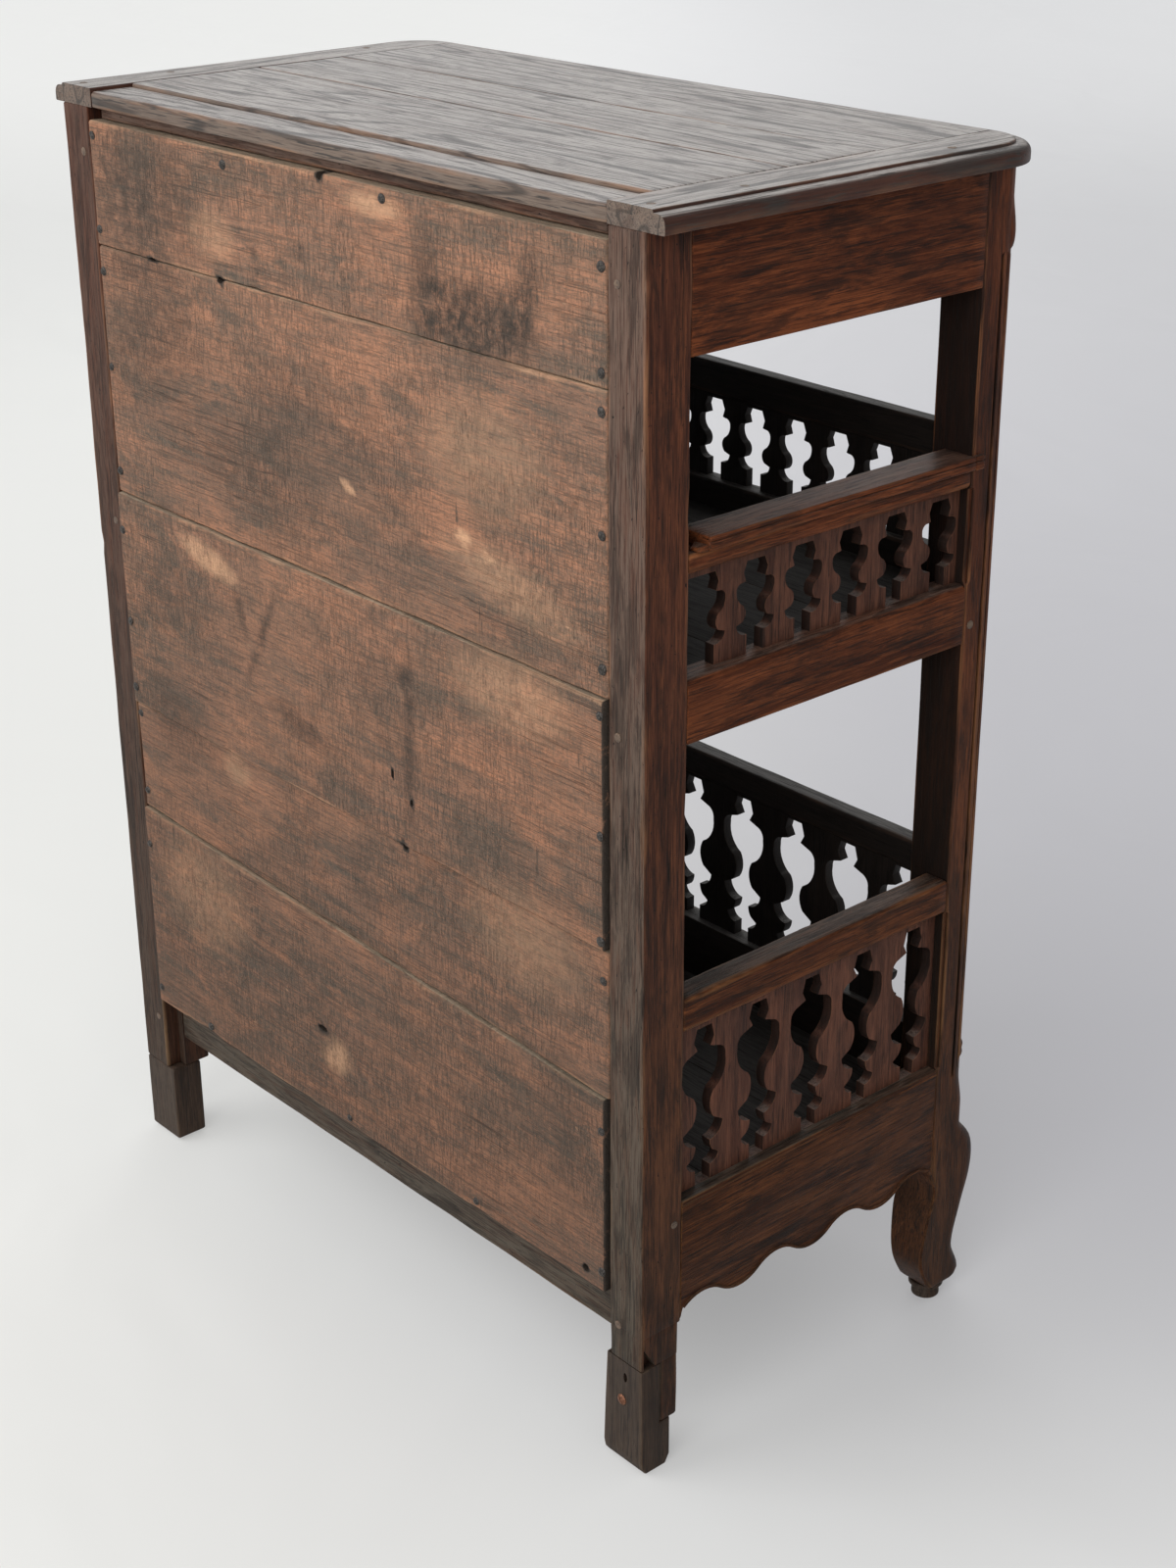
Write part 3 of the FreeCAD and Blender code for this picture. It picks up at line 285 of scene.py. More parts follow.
class Bar:
    """A timber of constant or tapering section with rubbed, knocked edges."""

    SUPPORT = 1.6 * MM
    ROUND_STEPS = ((1.0, 0.0), (0.5, 0.134), (0.134, 0.5), (0.0, 1.0))

    def __init__(self, axis: Axis, start: float, end: float, near: Sequence[Corner], arris: Arris = PLAIN,
                 cell: float = 14 * MM, seed: int = 0, far: Optional[Sequence[Corner]] = None) -> None:
        """Keeps the bar's outline.

        Args:
            axis: Direction of the bar.
            start: Lower end along the axis.
            end: Upper end along the axis.
            near: Corners at the start as two distances and the share of the rounding, 0 for sharp.
            arris: Rubbing of the edges.
            cell: Largest size of the mesh cells.
            seed: Number that sets every irregularity.
            far: Corners at the end, if they differ.
        """
        self.axis, self.start, self.end = axis, start, end
        self.near, self.far = list(near), list(far or near)
        self.arris, self.cell, self.seed = arris, cell, seed
        flats = [Vector(corner[:2]) for corner in self.near]
        lengths = [(flats[(i + 1) % len(flats)] - flats[i]).length for i in range(len(flats))]
        self.cells = [max(1, round(length / cell)) for length in lengths]
        area = sum(flats[i - 1].cross(flats[i]) for i in range(len(flats)))
        self.sense = copysign(1, area)

    def rubbed(self, corner: int, along: float) -> float:
        """Rounding of one corner at a place along the bar.

        Args:
            corner: Number of the corner.
            along: Place along the axis.

        Returns:
            The radius.
        """
        spot = Vector((along * 18, corner * 7.3, self.seed * 2.7))
        knock = noise.noise(Vector((along * 34, corner * 5.1 + 40, self.seed * 1.3)))
        varied = self.arris.round * (1 + self.arris.spread * noise.noise(spot))
        return varied + self.arris.chip * max(0.0, knock - 0.3)

    def ring(self, along: float, inset: float) -> tuple[list[Vector], list[float]]:
        """Points and wear of the section at one place.

        Args:
            along: Place along the axis.
            inset: Distance by which the outline is drawn in, for the rounded ends.

        Returns:
            The points in world coordinates and the wear of each.
        """
        share = (along - self.start) / (self.end - self.start)
        corners = [
            Vector((n[0] + (f[0] - n[0]) * share, n[1] + (f[1] - n[1]) * share))
            for n, f in zip(self.near, self.far)
        ]
        count = len(corners)
        parts: list[list[tuple[Vector, float]]] = []
        for i, here in enumerate(corners):
            back = (corners[i - 1] - here).normalized()
            on = (corners[(i + 1) % count] - here).normalized()
            convex = on.cross(back) * self.sense > 0
            here = here + (back + on) * (inset if convex else -inset)
            if not self.near[i][2]:
                parts.append([(here, 0.0)])
                continue
            limit = 0.4 * min((corners[i - 1] - here).length, (corners[(i + 1) % count] - here).length)
            radius = min(self.rubbed(i, along) * self.near[i][2], limit)
            rub = min(1.0, max(0.15, 0.6 + noise.noise(Vector((along * 11, i * 3.1, self.seed * 4.9)))))
            reach = min(radius + self.SUPPORT, limit * 1.15)
            spots = [(here + back * reach, 0.0)]
            spots += [(here + back * (radius * a) + on * (radius * b), rub) for a, b in self.ROUND_STEPS]
            spots += [(here + on * reach, 0.0)]
            parts.append(spots)
        flats: list[tuple[Vector, float]] = []
        for i, part in enumerate(parts):
            flats += part
            last, following = part[-1][0], parts[(i + 1) % count][0][0]
            steps = self.cells[i]
            flats += [(last.lerp(following, k / steps), 0.0) for k in range(1, steps)]
        points = [
            wobbled(self.axis.place(along, flat.x, flat.y), self.arris.wobble, self.seed)
            for flat, rub in flats
        ]
        return points, [rub for flat, rub in flats]

    def rings(self) -> tuple[list[list[Vector]], list[float]]:
        """All sections from end to end, with rounded ends, and the wear of every point.

        Returns:
            The rings and the wear, in the same order.
        """
        edge = min(self.arris.round, (self.end - self.start) * 0.2)
        steps = max(2, round((self.end - self.start) / self.cell))
        stations = [(self.start, edge * 0.9), (self.start + edge * 0.35, edge * 0.3)]
        span = self.end - self.start - 2 * edge
        stations += [(self.start + edge + span * k / steps, 0.0) for k in range(steps + 1)]
        stations += [(self.end - edge * 0.35, edge * 0.3), (self.end, edge * 0.9)]
        rings, wear = [], []
        for along, inset in stations:
            points, rubs = self.ring(along, inset)
            rings.append(points)
            wear += [max(rub, 0.2) if inset else rub for rub in rubs]
        return rings, wear


def build_bars(name: str, bars: Sequence[Bar]) -> Piece:
    """One piece from one or more bars.

    Args:
        name: Name of the piece.
        bars: The bars; each is a closed shell.

    Returns:
        The new object.
    """
    points: list[Vector] = []
    faces: list[tuple[int, ...]] = []
    wear: list[float] = []
    for bar in bars:
        rings, rubs = bar.rings()
        faces += skin(rings, len(points))
        points += [point for ring in rings for point in ring]
        wear += rubs
    return make_piece(name, points, faces, wear, bars[0].seed)


def publish_bars(name: str, slot: Slot, material: Material, *bars: Bar) -> None:
    """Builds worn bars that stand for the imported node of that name, and dresses them as one piece."""
    publish(build_bars("worn_" + name, bars), slot, material, name)


def rectangle(low: Flat, high: Flat, shares: Sequence[float] = (1, 1, 1, 1)) -> list[Corner]:
    """Corners of a rectangle, anticlockwise from the lower left, each with its share of the rounding."""
    spots = [(low[0], low[1]), (high[0], low[1]), (high[0], high[1]), (low[0], high[1])]
    return [(a, b, share) for (a, b), share in zip(spots, shares)]


def arc(start: Flat, end: Flat, bow: float, steps: int) -> list[Flat]:
    """Points of an arc from start up to, but without, end.

    Args:
        start: First point.
        end: Last point.
        bow: Rise over chord, positive where the arc swells to the right of the way; 0 is straight.
        steps: Number of chords.

    Returns:
        The points.
    """
    first, last = Vector(start), Vector(end)
    if not bow:
        return [tuple(first)]
    chord = last - first
    out = Vector((chord.y, -chord.x)).normalized() * copysign(1, bow)
    half = 2 * atan(2 * abs(bow))
    radius = chord.length / (2 * sin(half))
    centre = (first + last) / 2 - out * radius * cos(half)
    spots = []
    for k in range(steps):
        angle = half * (2 * k / steps - 1)
        spots.append(tuple(centre + out * radius * cos(angle)
                           + chord.normalized() * radius * sin(angle)))
    return spots


def scallop_line(start: float, end: float, count: int) -> list[Flat]:
    """An apron's waving lower edge between two sunk shoulders.

    Args:
        start: Lower end of the apron.
        end: Upper end of the apron.
        count: Number of waves, hollow first.

    Returns:
        The points from start to end, each with its level.
    """
    shoulder, low, level = OVOLO / 2, BODY.apron_level - OVOLO * 1.4, BODY.apron_level
    chord = (end - start - 2 * shoulder) / count
    spots: list[Flat] = [(start, low)]
    for i in range(count):
        near = start + shoulder + chord * i
        spots += arc((near, level), (near + chord, level), SCALLOP_BOW * (1 if i % 2 else -1), 9)
    return spots + [(end - shoulder, level), (end, low)]


def plate(name: str, axis: Axis, low: float, high: float, loop: Sequence[Flat], edge: float,
          seed: int) -> Piece:
    """A board of any outline with rounded edges.

    Args:
        name: Name of the piece.
        axis: Direction of the thickness.
        low: Lower face along the axis.
        high: Upper face along the axis.
        loop: Outline, anticlockwise.
        edge: Rounding of both rims.
        seed: Number that sets every irregularity.

    Returns:
        The new object.
    """
    flats = [Vector(spot) for spot in loop]
    count = len(flats)
    inward = []
    for i, here in enumerate(flats):
        back, on = (here - flats[i - 1]).normalized(), (flats[(i + 1) % count] - here).normalized()
        normal = Vector((-(back + on).y, (back + on).x))
        inward.append(normal.normalized() / max(0.4, sqrt((1 + back.dot(on)) / 2)))
    thick = high - low
    steps = [(1.0, 0.0, 0.0), (0.3, 0.3, 1.0), (0.0, 1.0, 0.6), (0.0, 2.2, 0.0)]
    stations = [(inset, low + edge * deep, rub) for inset, deep, rub in steps]
    stations += [(inset, high - edge * deep, rub) for inset, deep, rub in reversed(steps)]
    rings, wear = [], []
    for inset, level, rub in stations:
        ring = [axis.place(level, *(flat + way * edge * inset)) for flat, way in zip(flats, inward)]
        rings.append([wobbled(point, min(0.2 * MM, thick / 40), seed) for point in ring])
        wear += [rub] * count
    return lofted(name, rings, wear, seed)


def evaluated_mesh(piece: Piece, name: str) -> Mesh:
    """A plain mesh of the piece as its modifiers make it, after which they are dropped."""
    graph = bpy.context.evaluated_depsgraph_get()
    mesh = bpy.data.meshes.new_from_object(piece.evaluated_get(graph))
    mesh.name = name
    piece.modifiers.clear()
    return mesh


def cut_away(piece: Piece, tool: Piece) -> Piece:
    """Cuts a closed tool out of a piece and removes the tool.

    Args:
        piece: Piece that is cut.
        tool: Closed shell that is taken away.

    Returns:
        The piece, with its tone kept.
    """
    layer = piece.data.attributes.get("tone")
    tone = layer.data[0].value if layer else 0.0
    cutter = piece.modifiers.new("cut", "BOOLEAN")
    cutter.operation, cutter.solver, cutter.object = "DIFFERENCE", "EXACT", tool
    piece.data = evaluated_mesh(piece, piece.name)
    add_number(piece.data, "tone", [tone] * len(piece.data.vertices))
    bpy.data.objects.remove(tool)
    soften(piece.data)
    return piece


def merge(name: str, pieces: Sequence[Piece]) -> Piece:
    """Joins finished shells into one piece and removes them.

    Args:
        name: Name of the new piece.
        pieces: Closed shells that carry the same attributes.

    Returns:
        The new object.
    """
    shell = bmesh.new()
    for piece in pieces:
        shell.from_mesh(piece.data)
        bpy.data.objects.remove(piece)
    mesh = bpy.data.meshes.new(name)
    shell.to_mesh(mesh)
    shell.free()
    soften(mesh)
    return link_piece(name, mesh)


def bevel_rims(piece: Piece, width: float, degrees: float = 50) -> None:
    """Rounds every edge sharper than an angle and marks the new faces as rubbed.

    Args:
        piece: Piece whose mesh is changed.
        width: Rounding in metres.
        degrees: Angle from which an edge counts as sharp.
    """
    shell = bmesh.new()
    shell.from_mesh(piece.data)
    layer = shell.verts.layers.float.get("wear") or shell.verts.layers.float.new("wear")
    limit = radians(degrees)
    sharp = [e for e in shell.edges if len(e.link_faces) == 2 and e.calc_face_angle(0) > limit]
    made = bmesh.ops.bevel(shell, geom=sharp, offset=width, offset_type="OFFSET", segments=2, profile=0.6,
                           affect="EDGES", clamp_overlap=True)
    for vert in made["verts"]:
        flat_faces = sum(face not in made["faces"] for face in vert.link_faces)
        vert[layer] = 0.0 if flat_faces else 1.0
    shell.to_mesh(piece.data)
    shell.free()
    soften(piece.data)


def node_copy(node: str, name: str, width: float, seed: int) -> Piece:
    """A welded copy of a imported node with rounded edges, where its own shape is kept.

    Args:
        node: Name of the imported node.
        name: Name of the new piece.
        width: Rounding in metres.
        seed: Number that sets the piece's tone.

    Returns:
        The new object.
    """
    mesh = frame["nodes"][node].data.copy()
    mesh.name = name
    shell = bmesh.new()
    shell.from_mesh(mesh)
    bmesh.ops.remove_doubles(shell, verts=shell.verts, dist=WELD)
    bmesh.ops.dissolve_limit(shell, angle_limit=radians(0.5), verts=shell.verts, edges=shell.edges)
    shell.to_mesh(mesh)
    shell.free()
    mesh.materials.clear()
    piece = link_piece(name, mesh)
    bevel_rims(piece, width)
    set_tone(piece.data, seed)
    return piece


def lathe(name: str, centre: Flat, profile: Sequence[Flat], sides: int, seed: int) -> Piece:
    """A turned piece about a vertical line.

    Args:
        name: Name of the piece.
        centre: X and Y of the line.
        profile: Radius and level from bottom to top.
        sides: Number of sides.
        seed: Number that sets every irregularity.

    Returns:
        The new object.
    """
    rings = []
    for radius, level in profile:
        ring = []
        for k in range(sides):
            angle = 2 * pi * k / sides
            x, y = centre[0] + radius * cos(angle), centre[1] + radius * sin(angle)
            ring.append(wobbled(Vector((x, y, level)), 0.3 * MM, seed))
        rings.append(ring)
    return lofted(name, rings, [0.2] * (sides * len(profile)), seed)


def publish(piece: Piece, slot: Slot, material: Material, *nodes: str) -> None:
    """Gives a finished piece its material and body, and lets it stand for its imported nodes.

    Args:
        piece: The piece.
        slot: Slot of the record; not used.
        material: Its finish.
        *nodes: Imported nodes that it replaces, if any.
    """
    piece.data.materials.clear()
    piece.data.materials.append(material)
    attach(piece, "root")
    if nodes:
        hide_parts(*nodes)
    log.info("%s: %d faces for %s", piece.name, len(piece.data.polygons), ", ".join(nodes) or "trim")


def dress_node(name: str, material: Material) -> None:
    """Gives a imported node, whose own shape is right, a better material."""
    for slot in frame["nodes"][name].material_slots:
        slot.link = "OBJECT"
        slot.material = material
    log.info("%s: packed shape, new finish", name)


# Finishes

class Wiring:
    """Adds and wires the nodes of one tree."""

    def __init__(self, tree: bpy.types.NodeTree) -> None:
        """Keeps the tree."""
        self.tree = tree

    def feed(self, socket: Socket, value: Feed) -> None:
        """Wires a socket to another or sets its value."""
        if isinstance(value, Socket):
            self.tree.links.new(value, socket)
        else:
            socket.default_value = value

    def add(self, kind: str, feeds: Optional[dict] = None, **settings: object) -> bpy.types.Node:
        """Adds a node, sets its properties and feeds its inputs by name or number.

        Args:
            kind: Type of the node.
            feeds: Value or socket for each input.
            **settings: Properties of the node.

        Returns:
            The node.
        """
        node = self.tree.nodes.new(kind)
        for key, value in settings.items():
            setattr(node, key, value)
        for key, value in (feeds or {}).items():
            self.feed(node.inputs[key], value)
        return node

    def out(self, kind: str, feeds: Optional[dict] = None, **settings: object) -> Socket:
        """Adds a node in the same way and hands on its first output."""
        return self.add(kind, feeds, **settings).outputs[0]

    def dot(self, vector: Feed, way: Sequence[float]) -> Socket:
        """How far a vector reaches along a fixed direction."""
        node = self.add("ShaderNodeVectorMath", {0: vector, 1: way}, operation="DOT_PRODUCT")
        return node.outputs["Value"]


class Palette(Wiring):
    """Adds and wires the shader nodes of one material, and keeps its colour and height as they grow."""

    colour: Feed = (0.0, 0.0, 0.0)
    height: Feed = 0.0

    def __init__(self, name: str) -> None:
        """Starts an empty material."""
        self.material = bpy.data.materials.new(name)
        self.material.use_nodes = True
        super().__init__(self.material.node_tree)
        self.tree.nodes.clear()

    def place(self) -> Socket:
        """Coordinates of the object."""
        return self.add("ShaderNodeTexCoord").outputs["Object"]

    def level(self) -> Socket:
        """Height above the floor."""
        return self.add("ShaderNodeSeparateXYZ", {0: self.place()}).outputs[2]

    def math(self, operation: str, first: Feed, second: Feed = 0.0, clamp: bool = True) -> Socket:
        """One sum of two numbers, kept between 0 and 1 unless told otherwise."""
        return self.out("ShaderNodeMath", {0: first, 1: second}, operation=operation, use_clamp=clamp)

    def times(self, first: Feed, second: Feed) -> Socket:
        """Product of two numbers, kept between 0 and 1."""
        return self.math("MULTIPLY", first, second)

    def less(self, first: Feed, second: Feed) -> Socket:
        """What is left of a number after another is taken off, kept between 0 and 1."""
        return self.math("SUBTRACT", first, second)

    def from_half(self, value: Feed) -> Socket:
        """Distance of a number from one half."""
        return self.math("ABSOLUTE", self.math("SUBTRACT", value, 0.5, False))

    def band(self, value: Feed, low: float, high: float) -> Socket:
        """Smooth step of a value from 0 at low to 1 at high."""
        return self.out("ShaderNodeMapRange", {0: value, 1: low, 2: high}, interpolation_type="SMOOTHSTEP")

    def coat(self, share: Feed, strength: Feed, tint: Feed) -> None:
        """Lays a tint over the colour, as strong as the product of two shares."""
        self.colour = self.mix(self.times(share, strength), self.colour, tint)

    def sink(self, share: Feed, depth: Feed) -> None:
        """Lowers the height by a share of a depth."""
        self.height = self.less(self.height, self.times(share, depth))

    def mix(self, share: Feed, low: Feed, high: Feed, blend: str = "MIX") -> Socket:
        """Blend of two colours."""
        pad = [value if isinstance(value, Socket) else (*value, 1.0) for value in (low, high)]
        return self.add("ShaderNodeMix", {0: share, 6: pad[0], 7: pad[1]}, data_type="RGBA",
                        blend_type=blend).outputs[2]

    def stretched(self, vector: Feed, scale: Colour, turn: Colour = (0, 0, 0)) -> Socket:
        """Coordinates scaled, and turned, on each axis."""
        return self.out("ShaderNodeMapping", {"Vector": vector, "Scale": scale, "Rotation": turn})

    def cloud(self, vector: Feed, scale: float, detail: float = 3.0, rough: float = 0.55,
              bend: float = 0.0, seed: Feed = 0.0) -> Socket:
        """Soft noise of a scale per metre; the seed moves it to another pattern."""
        return self.out("ShaderNodeTexNoise", {
            "Vector": vector, "W": seed, "Scale": scale, "Detail": detail, "Roughness": rough,
            "Distortion": bend}, noise_dimensions="4D")

    def attribute(self, name: str) -> Socket:
        """A number that the mesh carries on its vertices."""
        return self.add("ShaderNodeAttribute", attribute_name=name).outputs["Fac"]

    def facing(self, way: Colour, low: float, high: float) -> Socket:
        """How far the surface faces a fixed direction, as a smooth step."""
        normal = self.add("ShaderNodeNewGeometry").outputs["Normal"]
        return self.band(self.dot(normal, way), low, high)

    def finish(self, colour: Feed, roughness: Feed, height: Feed, depth: float,
               **constants: Feed) -> Material:
        """Closes the material with one principled shader.

        Args:
            colour: Base colour.
            roughness: Roughness.
            height: Height field of the bump.
            depth: Depth of the bump in metres.
            **constants: Further values set on the shader, with underscores for spaces.

        Returns:
            The material.
        """
        bump = self.add("ShaderNodeBump", {"Height": height, "Distance": depth, "Strength": 1.0})
        shader = self.add("ShaderNodeBsdfPrincipled", {
            "Base Color": colour, "Roughness": roughness, "Normal": bump.outputs[0]})
        for key, value in constants.items():
            shader.inputs[key.replace("_", " ")].default_value = value
        output = self.add("ShaderNodeOutputMaterial")
        self.tree.links.new(shader.outputs[0], output.inputs[0])
        return self.material


CRACK_BLACK = (0.006, 0.005, 0.004)


@dataclass(frozen=True)
class OakFinish:
    """One look of old oak; colours are linear, shares run from 0 to 1."""

    name: str
    dark: Colour
    mid: Colour
    light: Colour
    worn: Colour
    # The soot colour is also the colour of painted shade on faces turned to the back, at board ends and in
    # holes.
    soot: Colour = (0.012, 0.009, 0.008)
    # Colour of the dust on upward faces, which also serves as painted sheen.
    dust_and_sheen: Colour = (0.33, 0.31, 0.28)
    raw: Colour = (0.14, 0.10, 0.08)
    dust_and_sheen_share: float = 0.0
    raw_back: float = 0.0
    raw_way: Colour = (0, 1, 0)
    sooty: float = 0.4
    mottled: float = 0.0
    ringed: float = 0.35
    cracked: float = 0.3
    rubbed: float = 0.8
    # Painted shade: the next two darken the colour towards the floor, and grey that darkening.
    grimy_low: float = 0.0
    greyed_low: float = 0.0
    # Painted shade: share by which faces turned to the back, above the apron, take the soot colour.
    dark_inside: float = 0.0
    porous: float = 0.6
    fibrous: float = 0.45
    streaked: float = 0.4
    pitted: float = 0.0
    smutty: float = 0.0
    figure: float = 80.0
    smooth: float = 0.42
    depth: float = 0.5 * MM
    specular: float = 0.35

    @cache
    def material(self, axis: Axis) -> Material:
        """Builds the material with the grain along an axis, once for each.

        Args:
            axis: Direction of the grain.

        Returns:
            The material.
        """
        p = Palette("%s_%s" % (self.name, axis.name.lower()))
        place = p.place()
        tone = p.attribute("tone")
        seed = p.math("MULTIPLY", tone, 23.0, False)

        def along(share: float) -> Socket:
            """Coordinates drawn out along the grain."""
            scale = [1.0, 1.0, 1.0]
            scale[axis.value] = share
            return p.stretched(place, tuple(scale))

        figure = p.cloud(along(0.09), self.figure, 6, 0.68, 0.9, seed)
        fibre = p.cloud(along(0.025), 820, 4, 0.75, 0.2, seed)
        pores = p.band(p.cloud(along(0.05), 560, 2, 0.6, 0.0, seed), 0.56, 0.62)
        blush = p.band(p.cloud(along(0.3), 11, 9, 0.74, 0.6, seed), 0.43, 0.62)
        streaks = p.band(p.cloud(along(0.05), 190, 5, 0.72, 0.6, seed), 0.5, 0.6)
        soot = p.band(p.cloud(along(0.6), 6, 9, 0.72, 0.8, p.math("ADD", tone, 0.37, False)), 0.46, 0.68)
        p.height = p.times(fibre, 0.6)

        p.colour = p.mix(p.band(figure, 0.36, 0.6), self.dark, self.mid)
        p.coat(blush, 0.6, self.light)
        p.coat(streaks, self.streaked, self.light)
        if self.raw_back:
            raw = p.mix(p.times(p.band(figure, 0.48, 0.62), 0.4), self.raw, self.mid)
            p.coat(p.facing(self.raw_way, 0.5, 0.8), self.raw_back, raw)
        if self.mottled:
            self.mottle(p, place, axis, seed)
        # Dust on upward faces, and painted sheen: the pale coat also stands for light reflected off these
        # faces.
        if self.dust_and_sheen_share:
            upward = p.facing((0, 0, 1), 0.7, 0.95)
            film = p.band(p.cloud(along(0.06), 90, 5, 0.65, 0.3, seed), 0.15, 0.55)
            p.coat(p.times(upward, film), self.dust_and_sheen_share, self.dust_and_sheen)
        rings = p.cloud(along(0.07), self.figure * 0.6, 2, 0.4, 0.5, seed)
        rings = p.from_half(p.math("FRACT", p.math("MULTIPLY", rings, 16.0, False)))
        p.coat(p.band(rings, 0.17, 0.03), self.ringed, self.soot)
        p.coat(p.band(fibre, 0.52, 0.42), self.fibrous, self.dark)
        p.coat(soot, self.sooty, self.soot)
        p.coat(pores, self.porous, self.soot)
        if self.smutty:
            smut = p.band(p.cloud(along(0.16), 60, 7, 0.74, 0.7, seed), 0.48, 0.6)
            p.coat(smut, self.smutty, self.soot)
        if self.pitted:
            pits = p.band(p.cloud(along(0.45), 430, 2, 0.5, 0.3, seed), 0.68, 0.73)
            p.coat(pits, self.pitted, self.soot)
            p.sink(pits, 0.5)
        # Painted shade: faces turned to the back above the apron, such as the reveals of the piercings and
        # the inner faces of the front posts, take the soot colour.
        if self.dark_inside:
            behind = p.times(p.facing((0, 1, 0), 0.4, 0.9), self.dark_inside)
            above = p.band(p.level(), BODY.apron_level, BODY.lower_sill + 40 * MM)
            p.coat(behind, above, self.soot)
        rub = p.times(p.attribute("wear"), p.band(p.cloud(along(0.12), 75, 5, 0.65), 0.42, 0.64))
        p.coat(rub, self.rubbed, self.worn)

        split = p.from_half(p.cloud(along(0.012), 60, 4, 0.6, 0.5, seed))
        sparse = p.band(p.cloud(place, 5.5, 2, 0.5, 0.0, seed), 0.5, 0.62)
        crack = p.times(p.band(split, 0.007, 0.001), sparse)
        p.coat(crack, self.cracked, CRACK_BLACK)
        grit = p.band(p.cloud(place, 75, 7, 0.75, 0.4), 0.25, 0.62)
        # Dark and pale marks written on the mesh; the dark ones also carry painted shade at the back boards'
        # short ends and in their holes.
        p.coat(p.attribute("stain"), grit, self.soot)
        p.coat(p.attribute("bare"), grit, self.worn)
        # Painted shade: the colour grows darker, and greyer, towards the floor.
        if self.grimy_low:
            left = 1 - self.grimy_low
            grey = left + self.grimy_low * self.greyed_low
            dimmed = p.mix(1.0, p.colour, (left, grey, grey), "MULTIPLY")
            p.colour = p.mix(p.band(p.level(), 0.0, BODY.top), dimmed, p.colour)
        p.sink(pores, 0.25)
        p.sink(crack, self.cracked * 0.6)
        gloss = p.out("ShaderNodeMapRange", {0: figure, 3: self.smooth - 0.08, 4: self.smooth + 0.14})
        return p.finish(p.colour, gloss, p.height, self.depth, Specular_IOR_Level=self.specular)

    def mottle(self, p: Palette, place: Feed, axis: Axis, seed: Feed) -> None:
        """Adds grey patches, the strokes of the pit saw across the grain and pale flecks.

        Args:
            p: Palette of the material.
            place: Object coordinates.
            axis: Direction of the grain.
            seed: Pattern of the piece.
        """
        with_grain, across = [1.0, 1.0, 1.0], [0.11, 0.11, 0.11]
        with_grain[axis.value], across[axis.value] = 0.45, 1.0
        stretched = p.stretched(place, tuple(with_grain))
        patches = p.band(p.cloud(stretched, 13, 9, 0.7, 0.6, seed), 0.42, 0.62)
        broad = p.band(p.cloud(place, 5, 3, 0.6, 0.6, seed), 0.35, 0.62)
        grey = p.times(patches, p.math("ADD", p.times(broad, 0.6), 0.35))
        p.coat(grey, self.mottled, self.dark)
        sawn = p.stretched(place, tuple(across), (0, 0.12, 0))
        strokes = p.cloud(sawn, 600, 4, 0.72, 0.3, seed)
        fine = p.times(p.band(strokes, 0.52, 0.6), p.math("ADD", p.times(broad, 0.75), 0.1))
        p.coat(fine, self.mottled, self.dark)
        p.coat(p.band(strokes, 0.44, 0.36), 0.35, self.light)
        rust = p.band(p.cloud(stretched, 24, 7, 0.72, 0.7, p.math("ADD", seed, 5.0, False)), 0.5, 0.64)
        p.coat(rust, 0.5, self.light)
        slits = p.band(p.cloud(sawn, 260, 2, 0.5, 0.2, seed), 0.66, 0.72)
        slits = p.times(slits, p.band(p.cloud(place, 14, 2, 0.5, 0.0, seed), 0.5, 0.6))
        p.coat(slits, 0.85, self.soot)
        flecks = p.band(p.cloud(stretched, 240, 3, 0.6, 0.0, seed), 0.68, 0.75)
        p.coat(flecks, 0.5, self.worn)
        grit = p.cloud(stretched, 560, 3, 0.8, 0.0, seed)
        p.coat(p.band(grit, 0.5, 0.6), 0.45, self.dark)
        p.coat(p.band(grit, 0.46, 0.37), 0.3, self.light)
        p.sink(fine, 0.5)
        p.sink(slits, 0.6)


@dataclass(frozen=True)
class MetalFinish:
    """Aged metal with a dull skin and brighter rubbed spots."""

    name: str
    skin: Colour
    bright: Colour
    smooth: float
    metallic: float = 0.8

    @cache
    def material(self) -> Material:
        """Builds the material once."""
        p = Palette(self.name)
        place = p.place()
        spots = p.cloud(place, 700, 4, 0.65)
        colour = p.mix(p.band(spots, 0.42, 0.66), self.skin, self.bright)
        gloss = p.out("ShaderNodeMapRange", {0: spots, 3: self.smooth, 4: self.smooth + 0.25})
        return p.finish(colour, gloss, spots, 0.25 * MM, Metallic=self.metallic)


BACK_OAK = OakFinish(
    "back_board_oak", dark=(0.112, 0.086, 0.065), mid=(0.25, 0.134, 0.088), light=(0.47, 0.21, 0.115),
    worn=(0.62, 0.36, 0.21), soot=(0.05, 0.038, 0.03), dust_and_sheen=(0.38, 0.31, 0.22), dust_and_sheen_share=0.75, sooty=0.2,
    mottled=0.85, ringed=0.06, cracked=0.6, rubbed=0.5, grimy_low=0.42, porous=0.35, fibrous=0.42,
    streaked=0.22, pitted=0.4, figure=60, smooth=0.74, depth=1.3 * MM, specular=0.2)
DARK_OAK = OakFinish(
    "dark_oak", dark=(0.044, 0.012, 0.006), mid=(0.115, 0.032, 0.013), light=(0.25, 0.072, 0.026),
    worn=(0.36, 0.14, 0.055), dust_and_sheen_share=0.45, dust_and_sheen=(0.165, 0.15, 0.13), grimy_low=0.45, greyed_low=0.35,
    figure=95, ringed=0.12, fibrous=0.65, streaked=0.5, smutty=0.6, rubbed=0.5, smooth=0.36, specular=0.06)
